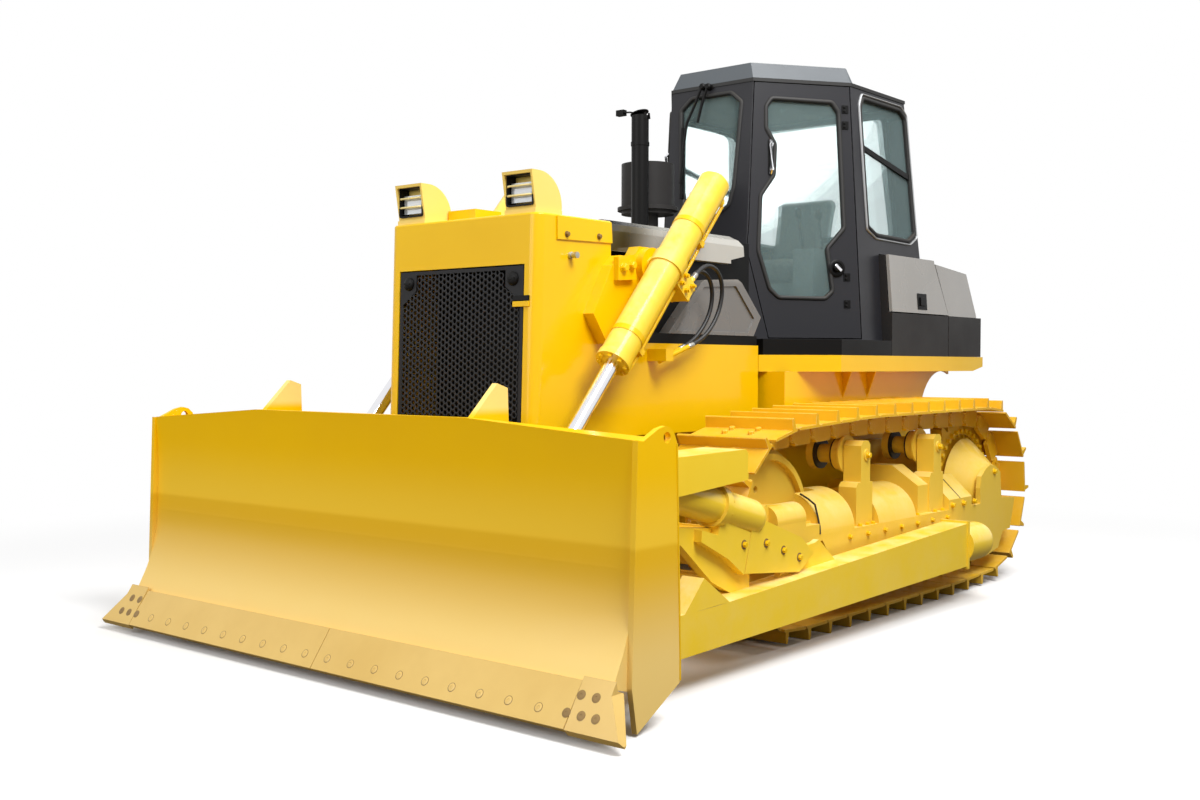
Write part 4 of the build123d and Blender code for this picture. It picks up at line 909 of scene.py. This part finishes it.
boltLook = {          # places on the left side in millimetres, and the size across the flats
    "sprocket": {"at": circleOf((978.2, 4284, 581), 352, 36, 3), "size": 0.026},
    "driveFlange": {"at": circleOf((960.2, 4284, 581), 318, 30, 9), "size": 0.018},
    "bracket": {"at": many([(1195.2, y, z) for y, z in ((3990, 530), (3840, 530), (3690, 530),
                                                        (4284, 690))]), "size": 0.026},
    "skirt": {"at": many([(1195.2, y, 466) for y in range(2480, 3700, 190)]), "size": 0.022},
    "shelf": {"at": many([(1178, y, 505.2) for y in (2620, 2700, 2760, 3280, 3500, 3600)]),
              "size": 0.020, "way": (0, 0, 1)},
    "noseCover": {"at": many([(504.2, y, z) for y, z in ((1073, 1941), (1303, 1947))]),
                  "size": 0.020, "look": "edgeShade"},
    "post": {"at": many([(1168.1, 3571, 876), (1168.1, 2715, 870)]), "size": 0.026},
}


def makeBolts(table):
    # All hexagon bolts of each finish in one mesh, both sides of the
    # machine; they point outwards unless told
    byFinish = {}
    for row in table.values():
        shape = scattered(hexBolt(row["size"]), row["at"], row.get("way", (1, 0, 0)))
        byFinish.setdefault(row.get("look", "bodyYellow"), []).extend([shape, mirroredShape(shape)])
    for finish, shapes in byFinish.items():
        newPiece("bolts_" + finish, merged(shapes), "chassis", finish)


noseCoverLook = {
    "outline": ((1011, 2022), (1399, 2021), (1406, 1922), (1011, 1913)), "wall": 496.2, "thick": 0.008,
    "place": (1105, 1845), "plug": ((0.017, 0), (0.017, 0.012), (0.012, 0.014), (0.012, 0.030),
                                    (0.015, 0.031), (0.015, 0.046), (0.001, 0.047))}


def makeNoseCover(look):
    # A cover strip along the top of each nose side, and a plug fitting turned about the way out of the wall
    strip = slab(np.array(look["outline"]) / 1000, (look["wall"] / 1000, tipY, 0), (0, 1, 0), (0, 0, 1),
                 look["thick"])
    plug = turned(look["plug"], at(look["wall"], *look["place"]), (1, 0, 0), 16)
    for side, turn in bothSides:
        newPiece("noseCover_" + side, turn(strip), "chassis", "bodyYellow", bevel=0.002)
        newPiece("nosePlug_" + side, turn(plug), "chassis", "steel", smooth=40)


# bits are (across, share of the face's height); a face runs from one (station, height) to another
edgeLook = {"bolt": 0.0165, "first": 75.5, "step": 151, "row": 0.30, "edgeFace": ((0, 52), (108, 207)),
            "bits": ((1417, 0.30), (1486, 0.30), (1553, 0.30), (1453, 0.66), (1522, 0.66)),
            "bitFace": ((0, 50), (112, 222))}


def makeBladeBolts(look):
    # Plough bolts flush in the edges, a low disc inside a ring of painted shade each, for the shaded gap
    # round it; the heads on the end bits are painted shade too.
    # Their height on each face is low + share * (high - low)
    r = look["bolt"]
    head = turned([(r, -0.001), (r, 0.0008), (r - 0.002, 0.0016), (0.006, 0.0016), (0.0055, 0.0006),
                   (0.001, 0.0006)], (0, 0, 0), (0, 0, 1), 20)
    ring = turned([(r + 0.0025, -0.001), (r + 0.0025, 0.0005), (r - 0.001, 0.0005), (r - 0.001, -0.001)],
                  (0, 0, 0), (0, 0, 1), 20, closed=True)
    heads, rings = [], []
    edge = [(s * (look["first"] + look["step"] * k), look["row"]) for k in range(9) for s in (-1, 1)]
    bits = [(s * x, share) for x, share in look["bits"] for s in (-1, 1)]
    for spots, (low, high) in ((edge, look["edgeFace"]), (bits, look["bitFace"])):
        s = np.array(spots)
        line = np.array(low) + s[:, 1:] * np.subtract(high, low)
        slope = unit(np.subtract(high, low))
        out = (0, -slope[1], slope[0])
        places = many(np.c_[s[:, 0], line])
        heads.append(scattered(head, places, out))
        rings.append(scattered(ring, places, out))
    newPiece("edgeBoltHeads", heads[0], "blade", "edgeSteel", smooth=40)
    newPiece("bitBoltHeads", heads[1], "blade", "edgeShade", smooth=40)
    newPiece("edgeBoltRings", merged(rings), "blade", "edgeShade", smooth=40)


bladeTrimLook = {     # places in millimetres on the left side, sizes in metres
    "weld": ((1584.5, 489, 160), (1584.5, 488, 255), (1584.5, 464, 1050)), "weldRadius": 0.004,
    "guard": ((1340.1, 1287, 564), (1340.1, 1465, 552), (1340.1, 1609, 505), (1340.1, 1747, 458)),
    "guardBolt": 0.024,
    "tilt": ((1290, 560, 890), (1290, 1395, 672)), "flange": (600.2, 87, 10), "flangeBolt": 0.014,
    "pipe": ((1290, 760, 938), (1290, 900, 906), (1290, 1080, 859)), "pipeRadius": 0.008}


def makeBladeTrim(look):
    # Weld beads where the end plates meet the blade, the tilt guard's
    # bolts in seats of painted shade for their recesses, and the flange's on a circle
    bead = carried(many(look["weld"]), disc(look["weldRadius"], 8), (1, 0, 0))
    spots = many(look["guard"])
    plates = scattered(hexBolt(look["guardBolt"], False), spots, (1, 0, 0))
    seat = turned([(0.021, 0), (0.021, 0.0012), (0.001, 0.0012)], (0, 0, 0), (0, 0, 1), 20)
    seats = scattered(seat, spots, (1, 0, 0))
    nose, tail = np.array(look["tilt"], float)
    run = unit(tail - nose)
    below = np.cross(run, (1, 0, 0))
    along, reach, count = look["flange"]
    turns = np.radians(np.arange(count) * 360 / count + 180 / count)[:, None]
    ring = nose + run * along + reach * (np.cos(turns) * (1, 0, 0) + np.sin(turns) * below)
    flange = scattered(hexBolt(look["flangeBolt"]), many(ring), run)
    pipe = carried(many(look["pipe"]), disc(look["pipeRadius"], 8), (1, 0, 0))
    shape = merged([bead, plates, flange, pipe])
    for side, turn in bothSides:
        newPiece("bladeTrim_" + side, turn(shape), "blade", "bodyYellow", smooth=40)
        newPiece("tiltBoltSeats_" + side, turn(seats), "blade", "edgeShade")


seamLook = {
    "arc": ((1081, 2181, 701), (1127, 2181, 679), (1166, 2181, 653), (1181, 2181, 600), (1194, 2181, 545),
            (1196, 2181, 508)),
    "slope": ((1062, 3800, 690.5), (1128, 3800, 627), (1194.5, 3800, 563)),
    "rollers": ((3571, 876), (2715, 870)), "ringsAt": (889, 991), "ring": (0.049, 0.084, -0.005, 0.005)}


def makeSeams(look):
    # Dark gaps between the track frame's covers, narrow strips carried over
    # them, and rubber rings in the carrier rollers
    strip = carried(many(look["arc"]), oblong(-0.004, 0.004, -0.003, 0.003), (0, 1, 0))
    slope = carried(many(look["slope"]), oblong(-0.003, 0.003, -0.0015, 0.0015), (1, 0, 1))
    rings = [turned(oblong(*look["ring"]), at(x, y, z), (1, 0, 0), 40, closed=True)
             for y, z in look["rollers"] for x in look["ringsAt"]]
    seams = merged([strip, slope, *rings])
    newPiece("coverSeams", merged([seams, mirroredShape(seams)]), "chassis", "rubber")


makeSeams(seamLook)
makeBolts(boltLook)
makeNoseCover(noseCoverLook)
makeBladeBolts(edgeLook)
makeBladeTrim(bladeTrimLook)
print("bolts and trim made")


latchLook = {"place": (795.0, 4100, 1739), "lean": (-24, 0, 344), "plate": (-63, 63, -50, 50),
             "pull": (-34, 34, -26, 26)}


def makeLatches(look):
    # A recessed plate and a pull on each side lid, flat outlines on its leaning wall
    lean, (x, y, z) = unit(look["lean"]), look["place"]
    plate = slab(np.array(oblong(*look["plate"])) / 1000, at(x, y, z), (0, 1, 0), lean, 0.003)
    pull = slab(np.array(oblong(*look["pull"])) / 1000, at(x + 2.8, y, z), (0, 1, 0), lean, 0.008)
    for side, turn in bothSides:
        newPiece("lidLatch_" + side, turn(merged([plate, pull])), "side_lid_" + side,
                 "satinBlack", bevel=0.001)


exhaustLook = {       # places in millimetres, sizes in metres, the cap turned about its lifted way
    "foot": (0, 2260, 2046), "radius": 0.048, "tall": 0.670, "clamp": 2560, "lift": (-0.30, 0, 1),
    "cap": ((0.052, 0), (0.052, 0.004), (0.040, 0.008), (0.001, 0.010)), "capHeight": 2728,
    "lever": ((40, 2260, 2716), (-60, 2260, 2742), (-120, 2260, 2748)), "weight": (-134, 2276, 2746),
    "ear": ((0, 0), (0.020, 0), (0.016, 0.034), (0.006, 0.034)), "earHeight": 2694}


def makeExhaust(look):
    # A turned pipe with a hinged rain cap, its lever and weight, two hinge ears and a clamp
    (x, y, z), r, tall = look["foot"], look["radius"], look["tall"]
    across, above = (1, 0, 0), (0, 0, 1)
    pipe = turned([(r, 0), (r, tall), (r - 0.003, tall), (r - 0.003, 0.400)], at(x, y, z), above, 40)
    cap = turned(look["cap"], at(x - 4, y, look["capHeight"]), unit(look["lift"]), 36)
    lever = carried(many(look["lever"]), oblong(-0.012, 0.012, -0.003, 0.003), above)
    weight = slab(oblong(-0.026, 0.026, -0.016, 0.016), at(*look["weight"]), across, above, 0.032)
    ears = [slab(look["ear"], at(38, y + step, look["earHeight"]), across, above, 0.004)
            for step in (-14, 18)]
    clamp = turned(oblong(r + 0.0004, r + 0.0035, -0.010, 0.010), at(x, y, look["clamp"]), above,
                   40, closed=True)
    stack = newPiece("exhaustStack", merged([pipe, cap, lever, weight, *ears, clamp]), "chassis",
                     "satinBlack", smooth=40)
    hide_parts("exhaust")


tankCapLook = {
    "place": (-450, 4545, 1957),
    "profile": ((0.075, 0), (0.075, 0.018), (0.068, 0.026), (0.030, 0.028), (0.001, 0.028))}


def makeTankCap(look):
    # The filler cap on the rear tank, its profile turned about the vertical
    cap = turned(look["profile"], at(*look["place"]), (0, 0, 1), 32)
    newPiece("tankCap", cap, "chassis", "satinBlack", smooth=40)


makeLatches(latchLook)
makeExhaust(exhaustLook)
makeTankCap(tankCapLook)
print("latches, exhaust and tank cap made")


clothLook = {"pressure": 4, "quality": 4, "steps": 20}     # how the pads are blown up
seatLook = {
    "seat_cushion": {"swell": 0.016, "fill": 0.6, "shrink": (0.97, 0.97, 0.97), "soften": 8},
    "seat_back": {"swell": 0.018, "fill": 0.6, "shrink": (0.84, 0.97, 0.97), "soften": 26}}
padCell = 0.010       # size of the cells that a pad is remeshed in


def pointsOf(mesh):
    # All points of a mesh as rows of x, y, z
    co = np.empty(len(mesh.vertices) * 3)
    mesh.vertices.foreach_get("co", co)
    return co.reshape(-1, 3)


def makePad(name, look):
    # A cushion: the solid's merged copy, remeshed, inflated as cloth
    # with each point's move capped, then smoothed
    source = nodes[name]
    mesh = source.data.copy()
    pad = bpy.data.objects.new(name + "_pad", mesh)
    bpy.context.scene.collection.objects.link(pad)
    mesh.materials.clear()
    mesh.materials.append(finishes["vinyl"])
    build = bmesh.new()
    build.from_mesh(mesh)
    bmesh.ops.remove_doubles(build, verts=build.verts, dist=1e-5)
    build.to_mesh(mesh)
    build.free()
    co = pointsOf(mesh)
    middle = (co.min(0) + co.max(0)) / 2
    mesh.vertices.foreach_set("co", (middle + (co - middle) * look["shrink"]).ravel())
    remesh = pad.modifiers.new("remesh", "REMESH")
    remesh.mode = "VOXEL"
    remesh.voxel_size = padCell
    applied(pad)
    before = pointsOf(pad.data)
    cloth = pad.modifiers.new("cloth", "CLOTH")
    cloth.settings.use_pressure = True
    cloth.settings.uniform_pressure_force = clothLook["pressure"]
    cloth.settings.effector_weights.gravity = 0
    cloth.settings.quality = clothLook["quality"]
    for step in range(1, clothLook["steps"] + 1):
        bpy.context.scene.frame_set(step)
    applied(pad)
    bpy.context.scene.frame_set(1)
    move = pointsOf(pad.data) - before
    far = np.linalg.norm(move, axis=1, keepdims=True)
    move *= np.minimum(1, look["swell"] / np.maximum(far, 1e-9))
    pad.data.vertices.foreach_set("co", (before + move).ravel())
    smooth = pad.modifiers.new("smooth", "SMOOTH")
    smooth.iterations = look["soften"]
    applied(pad)
    pad.data.polygons.foreach_set("use_smooth", np.ones(len(pad.data.polygons), bool))
    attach(pad, "chassis")
    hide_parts(name)


def applied(obj):
    # The object's mesh as its modifiers leave it, with the modifiers gone
    graph = bpy.context.evaluated_depsgraph_get()
    made = bpy.data.meshes.new_from_object(obj.evaluated_get(graph))
    obj.modifiers.clear()
    obj.data = made


cabinLook = {         # the armrest's across, height, front and rear, the levers' across, station and lean
    "armrest": (290, 2125, 3790, 4060), "levers": ((-330, 3470, 16), (330, 3450, 18), (395, 3560, 14)),
    "bar": ((-0.030, -0.022), (0.030, -0.022), (0.036, 0.0), (0.028, 0.022), (-0.028, 0.022),
            (-0.036, 0.0)),
    "knob": ((0.012, -0.02), (0.0216, 0.0), (0.024, 0.02), (0.0192, 0.045), (0.0072, 0.055)), "rod": 0.008}


def makeCabinFittings(look):
    # Armrests as rounded bars beside the seat's back, and levers on
    # the consoles: a rod and a turned knob each
    x, z, front, rear = look["armrest"]
    rests, stays = [], []
    for s in (-1, 1):
        line = many([(s * x, front, z), (s * x, front + 20, z + 4), (s * x, rear, z - 6)])
        rests.append(carried(line, look["bar"], (0, 0, 1)))
        line = many([(s * (x - 24), rear - 60, 1950), (s * (x - 24), rear - 60, z - 10)])
        stays.append(carried(line, disc(0.014, 8), (0, 1, 0)))
    newPiece("armrests", merged([*rests, *stays]), "chassis", "satinBlack", bevel=0.003)
    rods, knobs = [], []
    for x, y, lean in look["levers"]:
        foot, top = at(x, y, 2030), at(x, y - lean * 3, 2240)
        rods.append(carried([foot, top], disc(look["rod"], 8), (0, 1, 0)))
        knobs.append(turned(look["knob"], top, top - foot, 16))
    newPiece("levers", merged([*rods, *knobs]), "chassis", "satinBlack", smooth=50)


for name, look in seatLook.items():
    makePad(name, look)
makeCabinFittings(cabinLook)
print("seat made")


view = {"place": (4.4549, tipY - 3.4322, 1.3408), "azimuth": 39.777, "elevation": 1.545, "roll": 0.133,
        "lens": 39.05}


def makeCamera(view):
    # The camera at its place, turned by azimuth, elevation and roll
    data = bpy.data.cameras.new("camera")
    data.lens = view["lens"]
    data.sensor_width = 36
    camera = bpy.data.objects.new("camera", data)
    bpy.context.scene.collection.objects.link(camera)
    tilt = Matrix.Rotation(math.radians(90 - view["elevation"]), 4, "X")
    camera.matrix_world = (Matrix.Translation(view["place"])
                           @ Matrix.Rotation(math.radians(view["azimuth"]), 4, "Z") @ tilt
                           @ Matrix.Rotation(math.radians(view["roll"]), 4, "Z"))
    bpy.context.scene.camera = camera


stageLook = {"floor": 40, "fade": (2.6, 6.5), "seen": (0.95, 0.95, 0.95, 1),
             "bounce": (0.16, 0.14, 0.11, 1), "sky": 0.36}


def makeStage(look):
    # A round floor that fades to the backdrop's white away from the
    # machine, and a white sky seen by the camera
    verts, faces = turned([(0.01, 0), (8, 0), (look["floor"], 0)], (0, 0, -0.001), (0, 0, 1), 64)
    mesh = bpy.data.meshes.new("floor")
    mesh.from_pydata(verts.tolist(), [], faces[:-1])
    floor = bpy.data.objects.new("floor", mesh)
    bpy.context.scene.collection.objects.link(floor)
    material = bpy.data.materials.new("paleFloor")
    material.use_nodes = True
    tree = material.node_tree
    tree.nodes.clear()
    place = node(tree, "TexCoord")
    reach = node(tree, "VectorMath", {0: place.outputs["Object"]}, operation="LENGTH")
    fade = remap(tree, reach.outputs["Value"], *look["fade"], kind="SMOOTHSTEP")
    bright = node(tree, "Emission", {"Color": (1, 1, 1, 1), "Strength": 1.0})
    ray = node(tree, "LightPath")
    shown = colourMix(tree, ray.outputs["Is Camera Ray"], look["bounce"], look["seen"])
    matte = node(tree, "BsdfDiffuse", {"Color": shown})
    share = sums(tree, "MULTIPLY", fade, ray.outputs["Is Camera Ray"])
    mixed = node(tree, "MixShader", {0: share, 1: matte.outputs[0], 2: bright.outputs[0]})
    out = node(tree, "OutputMaterial")
    tree.links.new(mixed.outputs[0], out.inputs["Surface"])
    mesh.materials.append(material)
    world = bpy.data.worlds.new("sky")
    bpy.context.scene.world = world
    world.use_nodes = True
    tree = world.node_tree
    tree.nodes.clear()
    ray = node(tree, "LightPath")
    seen = sums(tree, "MAXIMUM", ray.outputs["Is Camera Ray"], ray.outputs["Is Transmission Ray"])
    seen = sums(tree, "MAXIMUM", seen, ray.outputs["Is Glossy Ray"])
    sky = node(tree, "Background",
               {"Color": (1, 1, 1, 1), "Strength": remap(tree, seen, first=look["sky"])})
    out = node(tree, "OutputWorld")
    tree.links.new(sky.outputs[0], out.inputs["Surface"])


lamps = {             # place, what it points at, diameter and power
    "key": ((5.8, -2.8, 7.2), (0.3, 0, 1.0), 3.6, 650),
    "front": ((-1.5, -8.0, 4.0), (0, -1, 1.0), 6.0, 260),
    "top": ((2.5, 0.5, 7.5), (0.3, 0, 0.5), 4.0, 240),
    "back": ((-5.0, 6.5, 5.0), (0, 1, 1.2), 5.0, 200)}


def makeLamp(name, place, target, size, power):
    # A round soft lamp that looks from its place at its target
    data = bpy.data.lights.new(name, "AREA")
    data.shape = "DISK"
    data.size = size
    data.energy = power
    lamp = bpy.data.objects.new(name, data)
    bpy.context.scene.collection.objects.link(lamp)
    lamp.location = place
    lamp.rotation_euler = (Vector(target) - Vector(place)).to_track_quat("-Z", "Y").to_euler()


makeCamera(view)
makeStage(stageLook)
for name, values in lamps.items():
    makeLamp(name, *values)
bpy.context.scene.view_settings.view_transform = "Standard"
print("camera, floor and lamps set")
